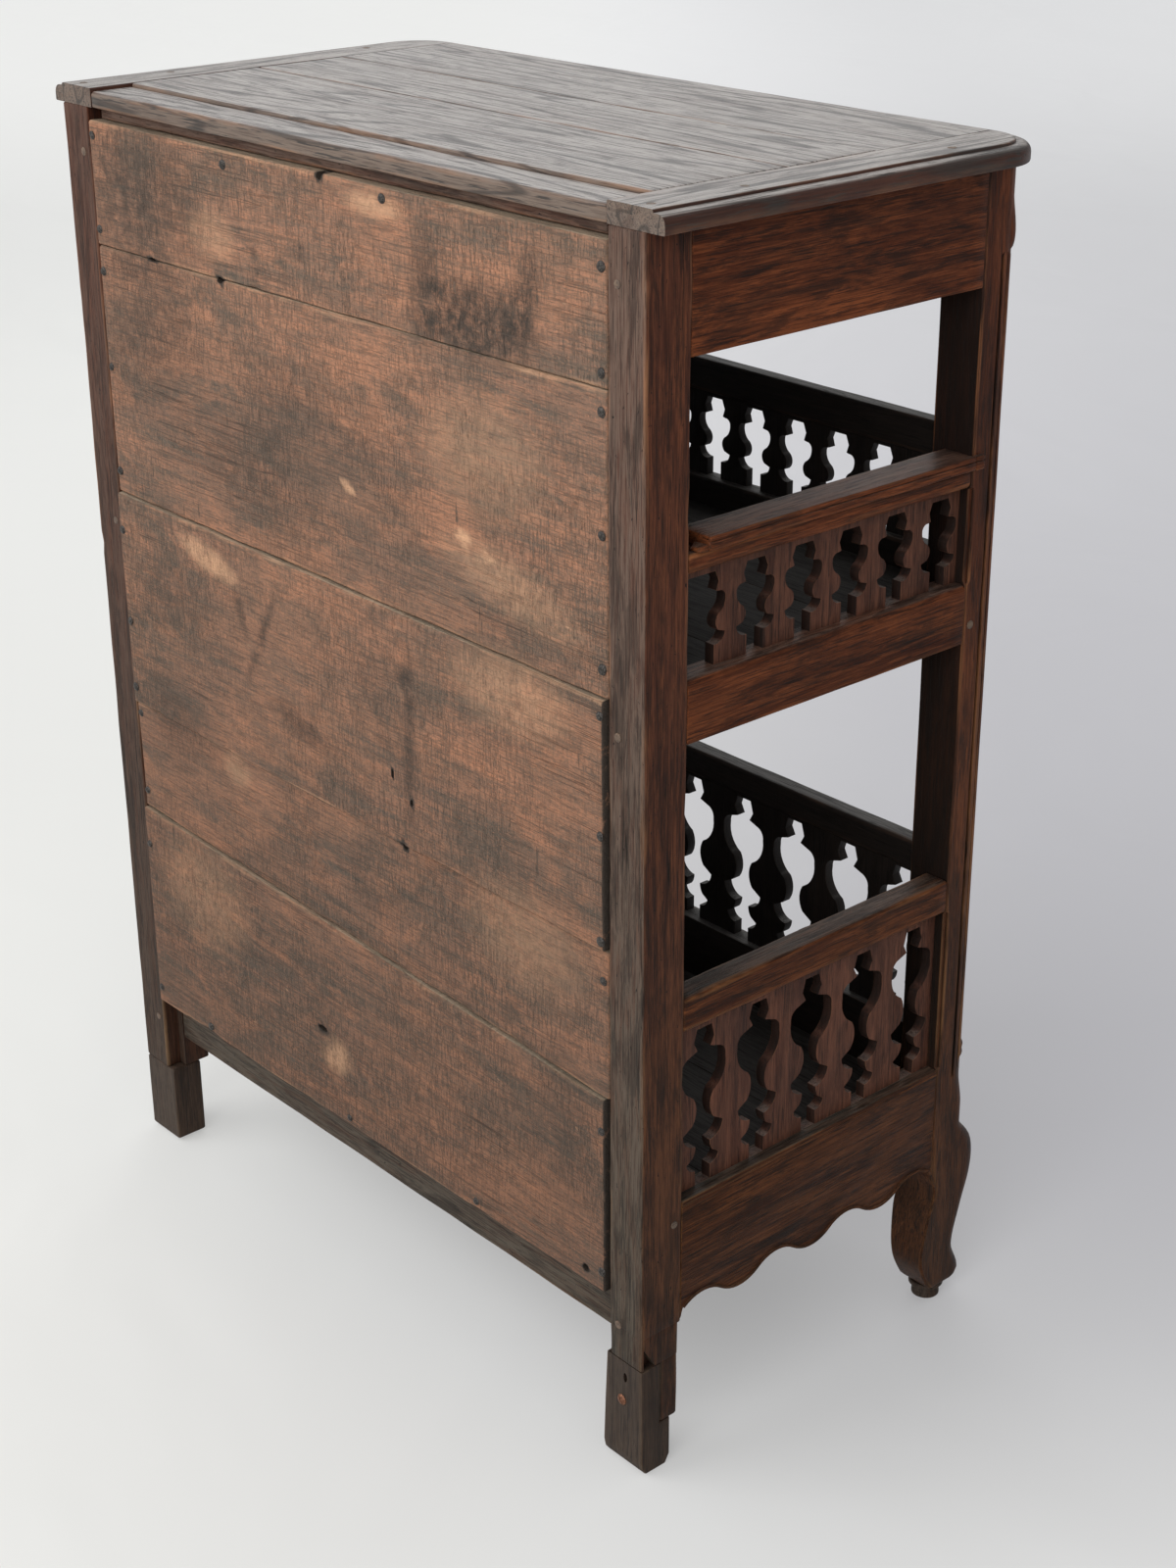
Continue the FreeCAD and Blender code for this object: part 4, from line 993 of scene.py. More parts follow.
FRONT_POST_OAK = OakFinish(
    "front_post_oak", dark=(0.034, 0.0105, 0.006), mid=(0.09, 0.027, 0.013), light=(0.19, 0.057, 0.024),
    worn=(0.34, 0.13, 0.055), dust_and_sheen_share=0.4, dust_and_sheen=(0.12, 0.11, 0.10), grimy_low=0.38, greyed_low=0.55,
    dark_inside=0.85, figure=95, ringed=0.12, fibrous=0.6, streaked=0.4, smutty=0.5, rubbed=0.6, smooth=0.36,
    specular=0.07)
POST_OAK = OakFinish(
    "post_oak", dark=(0.04, 0.014, 0.009), mid=(0.1, 0.034, 0.019), light=(0.2, 0.066, 0.03),
    worn=(0.34, 0.16, 0.08), raw=(0.128, 0.084, 0.064), raw_back=0.95, ringed=0.1, cracked=0.9, dust_and_sheen_share=0.4,
    grimy_low=0.4, greyed_low=0.4, rubbed=0.5, fibrous=0.65, streaked=0.45, porous=0.5, pitted=0.9,
    smutty=0.5, sooty=0.2, figure=110, smooth=0.5, specular=0.09)
FAR_POST_OAK = replace(POST_OAK, name="far_post_oak", raw=(0.095, 0.052, 0.038), light=(0.12, 0.045, 0.026))
FOOT_OAK = OakFinish(
    "foot_oak", dark=(0.020, 0.012, 0.008), mid=(0.045, 0.027, 0.018), light=(0.075, 0.045, 0.03),
    worn=(0.14, 0.09, 0.055), raw=(0.058, 0.041, 0.03), raw_back=0.9, rubbed=0.3, fibrous=0.6, ringed=0.1,
    cracked=0.9, pitted=0.7, figure=110, smooth=0.6, specular=0.18)
GALLERY_OAK = OakFinish(
    "gallery_oak", dark=(0.042, 0.017, 0.012), mid=(0.1, 0.043, 0.028), light=(0.19, 0.076, 0.046),
    worn=(0.30, 0.14, 0.075), dust_and_sheen_share=0.5, dust_and_sheen=(0.15, 0.14, 0.125), rubbed=0.6, dark_inside=0.85,
    ringed=0.15, streaked=0.3, smutty=0.3, smooth=0.46, specular=0.09)
# Painted shade: the near-black dark, mid and light colours stand for the shade on the rear and inner faces
# of the front rails, apron and panels; the front faces take the red-brown raw colour.
SHADED_FRONT_OAK = OakFinish(
    "front_oak", dark=(0.007, 0.005, 0.004), mid=(0.014, 0.010, 0.008), light=(0.024, 0.017, 0.014),
    worn=(0.07, 0.04, 0.026), soot=(0.005, 0.004, 0.004), raw=(0.15, 0.045, 0.019), raw_back=0.95,
    raw_way=(0, -1, 0), dust_and_sheen_share=0.75, dust_and_sheen=(0.17, 0.16, 0.15), smooth=0.6, specular=0.2)
# The shelves' pale coat on upward faces is dust and painted light.
SHELF_OAK = OakFinish(
    "shelf_oak", dark=(0.012, 0.010, 0.008), mid=(0.026, 0.02, 0.017), light=(0.04, 0.03, 0.025),
    worn=(0.08, 0.06, 0.045), dust_and_sheen_share=0.6, dust_and_sheen=(0.085, 0.08, 0.075), smooth=0.7, cracked=0.6, specular=0.2)
# Painted sheen: the pale grey on the top's upward faces is mostly the sheen of light on it; its own oak is
# the dark reddish colours.
TOP_OAK = OakFinish(
    "top_oak", dark=(0.02, 0.007, 0.0045), mid=(0.045, 0.016, 0.010), light=(0.075, 0.027, 0.017),
    worn=(0.34, 0.16, 0.075), soot=(0.03, 0.025, 0.022), raw=(0.15, 0.112, 0.088), raw_back=0.95,
    dust_and_sheen_share=0.95, dust_and_sheen=(0.355, 0.325, 0.3), sooty=0.12, ringed=0.75, porous=0.9, rubbed=0.45, smooth=0.38,
    figure=26, cracked=0.5, specular=0.25)
PEG_OAK = OakFinish(
    "peg_oak", dark=(0.06, 0.04, 0.03), mid=(0.12, 0.08, 0.055), light=(0.2, 0.13, 0.085),
    worn=(0.3, 0.2, 0.13), smooth=0.55, cracked=0.2)
NAIL_IRON = MetalFinish("nail_iron", (0.018, 0.015, 0.013), (0.085, 0.074, 0.066), 0.36, 0.6)
SCREW_BRASS = MetalFinish("screw_brass", (0.13, 0.055, 0.032), (0.32, 0.15, 0.085), 0.4, 0.8)
GLIDE_IRON = MetalFinish("glide_iron", (0.05, 0.046, 0.043), (0.14, 0.13, 0.12), 0.45, 0.8)


# Geometry node trees

class NodeTree(Wiring):
    """A geometry node tree with named inputs, run once on a carrier object."""

    def __init__(self, name: str, inputs: dict[str, str]) -> None:
        """Starts a tree.

        Args:
            name: Name of the tree.
            inputs: Name and socket type of each input.
        """
        super().__init__(bpy.data.node_groups.new(name, "GeometryNodeTree"))
        face = self.tree.interface
        face.new_socket("Geometry", in_out="INPUT", socket_type="NodeSocketGeometry")
        self.ids = {
            label: face.new_socket(label, in_out="INPUT", socket_type=kind).identifier
            for label, kind in inputs.items()
        }
        face.new_socket("Geometry", in_out="OUTPUT", socket_type="NodeSocketGeometry")
        self.entry = self.tree.nodes.new("NodeGroupInput")
        self.exit = self.tree.nodes.new("NodeGroupOutput")

    def given(self, label: str) -> Socket:
        """Socket of a named input."""
        return self.entry.outputs[label]

    def shape(self, label: str) -> Socket:
        """Geometry of the object that a named input gives."""
        return self.add("GeometryNodeObjectInfo", {"Object": self.given(label)}).outputs["Geometry"]

    def scaled(self, label: str, factor: float) -> Socket:
        """A named input times a number."""
        return self.out("ShaderNodeMath", {0: self.given(label), 1: factor}, operation="MULTIPLY")

    def joined(self, *parts: Socket) -> Socket:
        """Several geometries as one."""
        node = self.add("GeometryNodeJoinGeometry")
        for part in parts:
            self.feed(node.inputs[0], part)
        return node.outputs[0]

    def close(self, geometry: Socket) -> None:
        """Ends the tree in realised instances with the finish set."""
        realised = self.out("GeometryNodeRealizeInstances", {0: geometry})
        dressed = self.out("GeometryNodeSetMaterial", {
            "Geometry": realised, "Material": self.given("Finish")})
        self.feed(self.exit.inputs[0], dressed)

    def run(self, carrier: Piece, name: str, **values: object) -> Piece:
        """Runs the tree on a carrier and keeps the result as a plain mesh.

        Args:
            carrier: Object whose geometry the tree gets; it is removed afterwards.
            name: Name of the new piece.
            **values: Values of the inputs, with underscores for spaces.

        Returns:
            The new object.
        """
        modifier = carrier.modifiers.new("nodes", "NODES")
        modifier.node_group = self.tree
        for label, value in values.items():
            modifier[self.ids[label.replace("_", " ")]] = value
        bpy.context.view_layer.update()
        mesh = evaluated_mesh(carrier, name)
        bpy.data.objects.remove(carrier)
        return link_piece(name, mesh)


@cache
def stud_tree() -> NodeTree:
    """Tree that sets a head on every point, turned to the point's facing, with a little spread.

    Returns:
        The tree, built once.
    """
    t = NodeTree("studs", {
        "Head": "NodeSocketObject", "Spread": "NodeSocketFloat", "Tilt": "NodeSocketFloat",
        "Seed": "NodeSocketInt", "Finish": "NodeSocketMaterial"})
    facing = t.out("GeometryNodeInputNamedAttribute", {"Name": "facing"}, data_type="FLOAT_VECTOR")
    aligned = t.out("FunctionNodeAlignRotationToVector", {"Vector": facing}, axis="Z")
    lean = t.scaled("Tilt", -1.0)
    low = t.out("ShaderNodeCombineXYZ", {0: lean, 1: lean, 2: 0.0})
    high = t.out("ShaderNodeCombineXYZ", {0: t.given("Tilt"), 1: t.given("Tilt"), 2: 2 * pi})
    spin = t.out("FunctionNodeRandomValue", {
        0: low, 1: high, "Seed": t.given("Seed")}, data_type="FLOAT_VECTOR")
    turn = t.out("FunctionNodeEulerToRotation", {0: spin})
    whole = t.out("FunctionNodeRotateRotation", {
        0: aligned, 1: turn}, rotation_space="LOCAL")
    small = t.out("ShaderNodeMath", {0: 1.0, 1: t.given("Spread")}, operation="SUBTRACT")
    large = t.out("ShaderNodeMath", {0: 1.0, 1: t.given("Spread")}, operation="ADD")
    size = t.add("FunctionNodeRandomValue", {
        2: small, 3: large, "Seed": t.given("Seed")}, data_type="FLOAT").outputs[1]
    heads = t.out("GeometryNodeInstanceOnPoints", {
        "Points": t.given("Geometry"), "Instance": t.shape("Head"), "Rotation": whole, "Scale": size})
    t.close(heads)
    return t


@cache
def gallery_tree() -> NodeTree:
    """Tree that pierces a panel with a row of equal gaps and gives it its thickness.

    Returns:
        The tree, built once.
    """
    t = NodeTree("gallery", {
        "Gap": "NodeSocketObject", "Count": "NodeSocketInt", "Pitch": "NodeSocketFloat",
        "First": "NodeSocketFloat", "Length": "NodeSocketFloat", "Height": "NodeSocketFloat",
        "Thickness": "NodeSocketFloat", "Finish": "NodeSocketMaterial"})
    start = t.out("ShaderNodeCombineXYZ", {0: t.given("First")})
    pace = t.out("ShaderNodeCombineXYZ", {0: t.given("Pitch")})
    row = t.out("GeometryNodeMeshLine", {
        "Count": t.given("Count"), "Start Location": start, "Offset": pace})
    gaps = t.out("GeometryNodeInstanceOnPoints", {"Points": row, "Instance": t.shape("Gap")})
    gap_curves = t.out("GeometryNodeRealizeInstances", {0: gaps})
    centre = t.out("ShaderNodeCombineXYZ", {0: t.scaled("Length", 0.5), 1: t.scaled("Height", 0.5)})
    rim = t.out("GeometryNodeCurvePrimitiveQuadrilateral", {
        "Width": t.given("Length"), "Height": t.given("Height")}, mode="RECTANGLE")
    placed = t.out("GeometryNodeTransform", {"Geometry": rim, "Translation": centre})
    filled = t.out("GeometryNodeFillCurve", {0: t.joined(placed, gap_curves)}, mode="NGONS")
    raised = t.out("GeometryNodeExtrudeMesh", {
        "Mesh": filled, "Offset Scale": t.given("Thickness"), "Individual": False}, mode="FACES")
    under = t.out("GeometryNodeFlipFaces", {0: filled})
    shell = t.joined(raised, under)
    t.close(t.out("GeometryNodeMergeByDistance", {"Geometry": shell, "Distance": WELD / 2}))
    return t


@cache
def bead_tree() -> NodeTree:
    """Tree that runs a round bead along a curve.

    Returns:
        The tree, built once.
    """
    t = NodeTree("bead", {
        "Radius": "NodeSocketFloat", "Sides": "NodeSocketInt", "Finish": "NodeSocketMaterial"})
    ring = t.out("GeometryNodeCurvePrimitiveCircle", {
        "Radius": t.given("Radius"), "Resolution": t.given("Sides")}, mode="RADIUS")
    swept = t.out("GeometryNodeCurveToMesh", {
        "Curve": t.given("Geometry"), "Profile Curve": ring, "Fill Caps": True})
    t.close(swept)
    return t


def line_object(name: str, spots: Sequence[Vector], closed: bool) -> Piece:
    """A curve object of straight runs through the given points.

    Args:
        name: Name of the object.
        spots: The points.
        closed: Whether the last joins the first.

    Returns:
        The new object.
    """
    data = bpy.data.curves.new(name, "CURVE")
    data.dimensions = "3D"
    spline = data.splines.new("POLY")
    spline.points.add(len(spots) - 1)
    for point, spot in zip(spline.points, spots):
        point.co = (*spot, 1.0)
    spline.use_cyclic_u = closed
    return link_piece(name, data)


# Sub-assemblies

@dataclass
class Mark:
    """A dark or pale mark on the back, centred on X and Z, in millimetres and degrees."""

    x: float
    z: float
    wide: float
    high: float
    strength: float
    turn: float = 0.0

    def at(self, point: Vector) -> float:
        """Strength of the mark at a point, fading to its rim.

        Args:
            point: Place on the board.

        Returns:
            The strength, 0 outside.
        """
        across, up = point.x - self.x * MM, point.z - self.z * MM
        angle = radians(self.turn)
        a = (across * cos(angle) + up * sin(angle)) / (self.wide * MM)
        b = (up * cos(angle) - across * sin(angle)) / (self.high * MM)
        return self.strength * max(0.0, 1 - (a * a + b * b))


@dataclass(frozen=True)
class Hole:
    """A knot hole, worm hole or slit in the back, centred on X and Z, in millimetres."""

    x: float
    z: float
    wide: float
    high: float
    deep: float = 9.0

    def near(self, point: Vector) -> bool:
        """Whether a point is in the hole or on its rim."""
        across, up = (point.x / MM - self.x) / self.wide, (point.z / MM - self.z) / self.high
        return across * across + up * up < 0.4

    def tool(self) -> Piece:
        """The hole as a ragged closed prism that cuts from behind.

        Returns:
            The cutting tool.
        """
        sides = 10
        loop = []
        for k in range(sides):
            angle = 2 * pi * k / sides
            ragged = 0.5 + 0.12 * noise.noise(Vector((self.x, self.z, k * 1.7)))
            across, up = self.wide * ragged * cos(angle), self.high * ragged * sin(angle)
            loop.append(((self.x + across) * MM, (self.z + up) * MM))
        return prism("hole_tool", Axis.Y, (BODY.back - self.deep * MM, BODY.back + 8 * MM), loop)


@dataclass
class BackBoards:
    """Five rough boards in the rear rebates, some standing proud, with dark and pale marks, and painted
    shade at their short ends and in their holes.
    """

    bottom: float = 171 * MM
    top: float = 1072 * MM
    left_end: float = -344.9 * MM
    right_end: float = 352.9 * MM
    proud: float = 3 * MM
    gap: float = 1.1 * MM
    seams: tuple[Flat, ...] = ((0.878, 0.875), (0.608, 0.614), (0.366, 0.374), (0.213, 0.248))
    proud_boards: tuple[int, ...] = (2, 4)
    short: float = 3 * MM
    # Painted shade: how far the end of a short board is painted dark, for the gap beside the post.
    sooty_end: float = 0.9 * MM
    # Small dark marks are stains; the broad faint ones darken whole areas of the boards.
    stains: tuple[Mark, ...] = (
        Mark(-134, 1002, 28, 60, 0.75, 3), Mark(-204, 988, 80, 38, 1.15, 4),
        Mark(-254, 1016, 20, 50, 0.85, 20), Mark(-170, 974, 70, 16, 0.7),
        Mark(-95, 605, 10, 110, 0.9, 2), Mark(66, 571, 60, 16, 0.8, 10),
        Mark(-88, 664, 10, 14, 0.9), Mark(121, 640, 7, 72, 0.9, 28), Mark(152, 655, 7, 34, 0.7, -18),
        Mark(40, 250, 16, 9, 0.9, -25), Mark(60, 236, 8, 6, 0.9), Mark(180, 489, 14, 12, 0.8),
        Mark(102, 992, 8, 9, 0.8), Mark(32, 1003, 8, 11, 0.8, 20), Mark(285, 1010, 120, 85, 0.85),
        Mark(-290, 300, 60, 90, 0.3), Mark(290, 880, 110, 90, 0.55), Mark(130, 800, 130, 60, 0.5, 8),
        Mark(-184, 866, 60, 50, 0.3), Mark(20, 860, 140, 60, 0.35, 6), Mark(270, 520, 90, 50, 0.45),
        Mark(260, 640, 80, 50, 0.3))
    # Small pale marks are bare, rubbed wood; the broad faint ones lighten whole areas of the boards.
    bares: tuple[Mark, ...] = (
        Mark(200, 695, 55, 16, 0.9, 12), Mark(-19, 814, 12, 4, 1.4, 20), Mark(-172, 808, 10, 8, 1.4),
        Mark(-206, 797, 12, 4, 1.4, 20), Mark(38, 240, 30, 22, 0.9, -20),
        Mark(-200, 880, 90, 60, 0.3), Mark(180, 489, 26, 20, 0.5), Mark(-230, 690, 90, 40, 0.4),
        Mark(164, 997, 42, 26, 0.35), Mark(-70, 1056, 46, 12, 0.7), Mark(250, 330, 90, 70, 0.35),
        Mark(-240, 470, 90, 60, 0.3), Mark(-230, 780, 100, 30, 0.4, 12))
    holes: tuple[Hole, ...] = (
        Hole(1, 1070.5, 9, 9), Hole(155, 959.6, 9, 6), Hole(262, 959.9, 12, 4), Hole(-69, 568, 4, 9),
        Hole(-95, 549, 4, 7), Hole(-80, 502, 8, 8), Hole(-318, 186, 8, 7), Hole(58, 262, 14, 6))

    def build(self) -> None:
        """Builds, marks and dresses the boards."""
        levels = [(1.0, 1.0), *self.seams, (0.0, 0.0)]
        height = self.top - self.bottom
        for index in range(len(levels) - 1):
            upper = [self.bottom + height * share - self.gap / 2 for share in levels[index]]
            lower = [self.bottom + height * share + self.gap / 2 for share in levels[index + 1]]
            stands_out = index in self.proud_boards
            face = BODY.back + (self.proud if stands_out else 0)
            left_end = self.left_end + (self.short if stands_out else 0)
            near = rectangle((BODY.board_face, lower[0]), (face, upper[0]), (0, 1, 1, 0))
            far = rectangle((BODY.board_face, lower[1]), (face, upper[1]), (0, 1, 1, 0))
            name = "back_board_%d" % (index + 1)
            bar = Bar(Axis.X, left_end, self.right_end, near, ROUGH, 5 * MM, 11 + index, far)
            board = build_bars("rough_" + name, [bar])
            for hole in self.holes:
                if min(lower) - hole.high * MM < hole.z * MM < max(upper) + hole.high * MM:
                    cut_away(board, hole.tool())
            self.mark(board, left_end + (self.sooty_end if stands_out else -self.short))
            publish(board, Slot.BACK, BACK_OAK.material(Axis.X), name)

    def mark(self, board: Piece, sooty_end: float) -> None:
        """Writes the dark and pale marks onto the board's vertices, and painted shade onto a short end and
        into the holes.

        Args:
            board: Board that is marked.
            sooty_end: X up to which its end is painted dark, as painted shade in the gap beside the post.
        """
        for layer, marks in (("stain", self.stains), ("bare", self.bares)):
            values = [min(1.0, sum(mark.at(vert.co) for mark in marks)) for vert in board.data.vertices]
            # Painted shade: a short end and the holes with their rims are painted fully dark.
            if layer == "stain":
                values = [2.0 if vert.co.x < sooty_end or any(h.near(vert.co) for h in self.holes)
                          else value for vert, value in zip(board.data.vertices, values)]
            add_number(board.data, layer, values)


@dataclass
class RearFrame:
    """Rear posts with their feet, and the rails behind the boards."""

    rebate: float = 9.5 * MM
    splice_low: float = 48 * MM
    splice_high: float = 111 * MM
    splice_thick: float = 22 * MM
    foot_wide: float = 50 * MM
    foot_deep: float = 34 * MM
    foot_taper: float = 6 * MM
    pared: float = 3 * MM
    pared_below: float = 143 * MM
    right_foot_high: float = 88 * MM
    glide_high: float = 3 * MM
    rail_thick: float = 22 * MM
    lip_low: float = 1072.6 * MM
    lip_deep: float = 7 * MM
    chip_long: float = 15 * MM
    chip_high: float = 23 * MM
    chip_skin: float = 2 * MM
    chip_deep: float = 8 * MM
    overlap: float = 3 * MM
    top_rail_low: float = 1020 * MM
    bottom_rail_low: float = 123 * MM
    bottom_rail_high: float = 199 * MM

    def section(self, side: Side, pared: float = 0.0) -> list[Corner]:
        """The post's section with the rebate for the boards, anticlockwise, its front pared back or not.

        Args:
            side: Side of the post.
            pared: How far its front is pared back.

        Returns:
            The corners.
        """
        outer, inner = BODY.outer(side), BODY.inwards(side, BODY.rear_post_width)
        step = BODY.inwards(side, BODY.rear_post_width - self.rebate)
        front = BODY.rear_post_front + pared
        corners = [
            (outer, front, 1), (inner, front, 1), (inner, BODY.board_face, 0),
            (step, BODY.board_face, 0), (step, BODY.back, 1), (outer, BODY.back, 1.3),
        ]
        return corners if side is Side.LEFT else corners[::-1]

    def build(self) -> None:
        """Builds and dresses posts, feet and rails."""
        oak = POST_OAK.material(Axis.Z)
        lap = BODY.back - self.splice_thick
        outer, wide = BODY.left, BODY.left + self.foot_wide
        post = Bar(Axis.Z, self.pared_below, BODY.post_top, self.section(Side.LEFT), KNOCKED, 12 * MM, 21)
        pared = self.section(Side.LEFT, self.pared)
        shank = Bar(Axis.Z, self.splice_high, self.pared_below + self.overlap, pared, KNOCKED, 9 * MM, 21)
        cheek = rectangle((outer + 0.3 * MM, BODY.rear_post_front + self.pared), (wide, lap))
        tongue = Bar(Axis.Z, self.splice_low, self.splice_high + self.overlap, cheek, SOFT, 9 * MM, 22)
        chipped = cut_away(build_bars("chipped_shank", [shank]), self.chip())
        left = merge("worn_left_rear_post", [build_bars("post_and_tongue", [post, tongue]), chipped])
        publish(left, Slot.DARK, oak, "left_rear_post")
        section = self.section(Side.RIGHT)
        right = Bar(Axis.Z, self.right_foot_high, BODY.post_top, section, KNOCKED, 12 * MM, 23)
        far_oak = FAR_POST_OAK.material(Axis.Z)
        publish_bars("right_rear_post", Slot.DARK, far_oak, right)

        front, back = BODY.back - self.foot_deep, BODY.back
        profile = [
            (front + 5 * MM, 0.0), (back - 6 * MM, 0.0), (back - 1.5 * MM, 6 * MM), (back, 14 * MM),
            (back, 60 * MM), (back, self.splice_high), (lap, self.splice_high), (lap, self.splice_low),
            (front, self.splice_low), (front, 9 * MM),
        ]
        foot = plate("worn_left_rear_foot", Axis.X, outer, wide, profile, 2.4 * MM, 24)
        self.taper(foot)
        cut_away(foot, Hole(-365, 95, 4.5, 10, 7).tool())
        foot_oak = FOOT_OAK.material(Axis.Z)
        publish(foot, Slot.DARK, foot_oak, "left_rear_foot")
        near = rectangle((BODY.inwards(Side.RIGHT, self.foot_wide), front), (BODY.right, BODY.back))
        block = Bar(Axis.Z, self.glide_high, self.right_foot_high, near, SOFT, 10 * MM, 25)
        publish_bars("right_rear_foot", Slot.DARK, foot_oak, block)

        x_low, x_high = BODY.left + BODY.rear_post_width, BODY.right - BODY.rear_post_width
        rails = {
            "rear_top_rail": (self.top_rail_low, BODY.post_top),
            "rear_bottom_rail": (self.bottom_rail_low, self.bottom_rail_high),
        }
        for seed, (name, (low, high)) in enumerate(rails.items(), 26):
            near = rectangle((BODY.board_face - self.rail_thick, low), (BODY.board_face, high))
            bars = [Bar(Axis.X, x_low, x_high, near, SOFT, 14 * MM, seed)]
            if high == BODY.post_top:
                lip_back = BODY.board_face + self.lip_deep
                lip = rectangle((BODY.board_face - 1 * MM, self.lip_low), (lip_back, high))
                bars.append(Bar(Axis.X, x_low, x_high, lip, KNOCKED, 14 * MM, seed))
            publish_bars(name, Slot.DARK, POST_OAK.material(Axis.X), *bars)

    def taper(self, foot: Piece) -> None:
        """Draws the inner cheek of the left foot in towards its top."""
        middle = BODY.left + self.foot_wide / 2
        for vert in foot.data.vertices:
            if vert.co.x > middle:
                share = max(0.0, vert.co.z - self.splice_low / 2) / self.splice_high
                vert.co.x -= self.foot_taper * share

    def chip(self) -> Piece:
        """The splinter lost from the foot of the left post, as a cutting tool.

        Returns:
            The cutting tool.
        """
        high, low = BODY.back - self.chip_skin, BODY.back - self.chip_skin - self.chip_long
        spare = 1 * MM
        ends = (BODY.left - spare, BODY.left + self.chip_deep)
        loop = [(low, self.splice_high - spare), (high, self.splice_high - spare),
                (high, self.splice_high + self.chip_high)]
        return prism("chip_tool", Axis.X, ends, loop)


UPPER_GAP = (
    (0.44, 0.00, 0), (0.44, 0.215, 0.207), (0.995, 0.332, 0), (0.66, 0.36, -0.236), (0.66, 0.54, 0.149),
    (1.00, 0.704, 0.228), (0.683, 0.78, 0), (0.517, 0.79, 0), (0.634, 0.887, 0), (0.463, 1.00, 0))
LOWER_GAP = (
    (0.342, 0.00, 0), (0.342, 0.093, 0.196), (0.741, 0.152, 0), (0.475, 0.18, -0.09), (0.335, 0.252, 0.194),
    (0.928, 0.351, 0), (0.494, 0.394, -0.151), (0.456, 0.57, 0.163), (1.00, 0.762, 0.199),
    (0.684, 0.841, 0), (0.297, 0.864, 0), (0.464, 0.92, 0), (0.331, 1.00, 0))
GAP_SHARE = 0.39


@dataclass
class Gallery:
    """A pierced panel between a sill and a head, tongued into both."""

    name: str
    shape: tuple[Corner, ...]
    count: int
    start: float
    end: float
    sill: float
    head: float
    headroom: float
    thick: float
    margins: Flat
    seed: int
    tongue: float = 5 * MM
    edge: float = 0.7 * MM
    arc_steps: int = 7

    def gap_outline(self, half: float) -> list[Vector]:
        """One gap's closed outline about its own middle, from the sill up.

        Args:
            half: Half of the gap's full width.

        Returns:
            The points, flat in X and Y.
        """
        high = self.head - self.sill - self.headroom
        right = [(half * wide, self.tongue + high * up, bow) for wide, up, bow in self.shape]
        side: list[Flat] = []
        for here, after in zip(right, right[1:]):
            side += arc(here[:2], after[:2], here[2], self.arc_steps)
        side.append(right[-1][:2])
        mirrored = [(-a, b) for a, b in reversed(side)]
        return [Vector((a, b, 0.0)) for a, b in side + mirrored]

    def build(self, material: Material) -> Piece:
        """Pierces the panel, flat in X and Y with its thickness along Z.

        Args:
            material: Finish of the panel.

        Returns:
            The new object, not yet put in place.
        """
        pitch = (self.end - self.start - sum(self.margins)) / self.count
        gap = line_object("gap_outline", self.gap_outline(pitch * GAP_SHARE), True)
        carrier = link_piece("gallery_carrier", bpy.data.meshes.new("gallery_carrier"))
        panel = gallery_tree().run(
            carrier, "pierced_" + self.name, Gap=gap, Count=self.count, Pitch=pitch,
            First=self.margins[0] + pitch / 2, Length=self.end - self.start,
            Height=self.head - self.sill + 2 * self.tongue, Thickness=self.thick, Finish=material)
        bpy.data.objects.remove(gap)
        return panel

    def settle(self, panel: Piece, axis: Axis, depth: float, material: Material) -> None:
        """Moves a flat panel to its place, rounds its rims and dresses it.

        Args:
            panel: The flat panel.
            axis: Direction of the row, X or Y.
            depth: Lower face of the panel across the row.
            material: Finish of the panel.
        """
        bottom = self.sill - self.tongue
        rows = [(1, 0, 0, self.start), (0, 0, 1, depth)]
        if axis is Axis.Y:
            rows.reverse()
        panel.data.transform(Matrix((*rows, (0, 1, 0, bottom), (0, 0, 0, 1))))
        turn_outwards(panel.data)
        bevel_rims(panel, self.edge)
        set_tone(panel.data, self.seed)
        publish(panel, Slot.GALLERY, material, self.name)


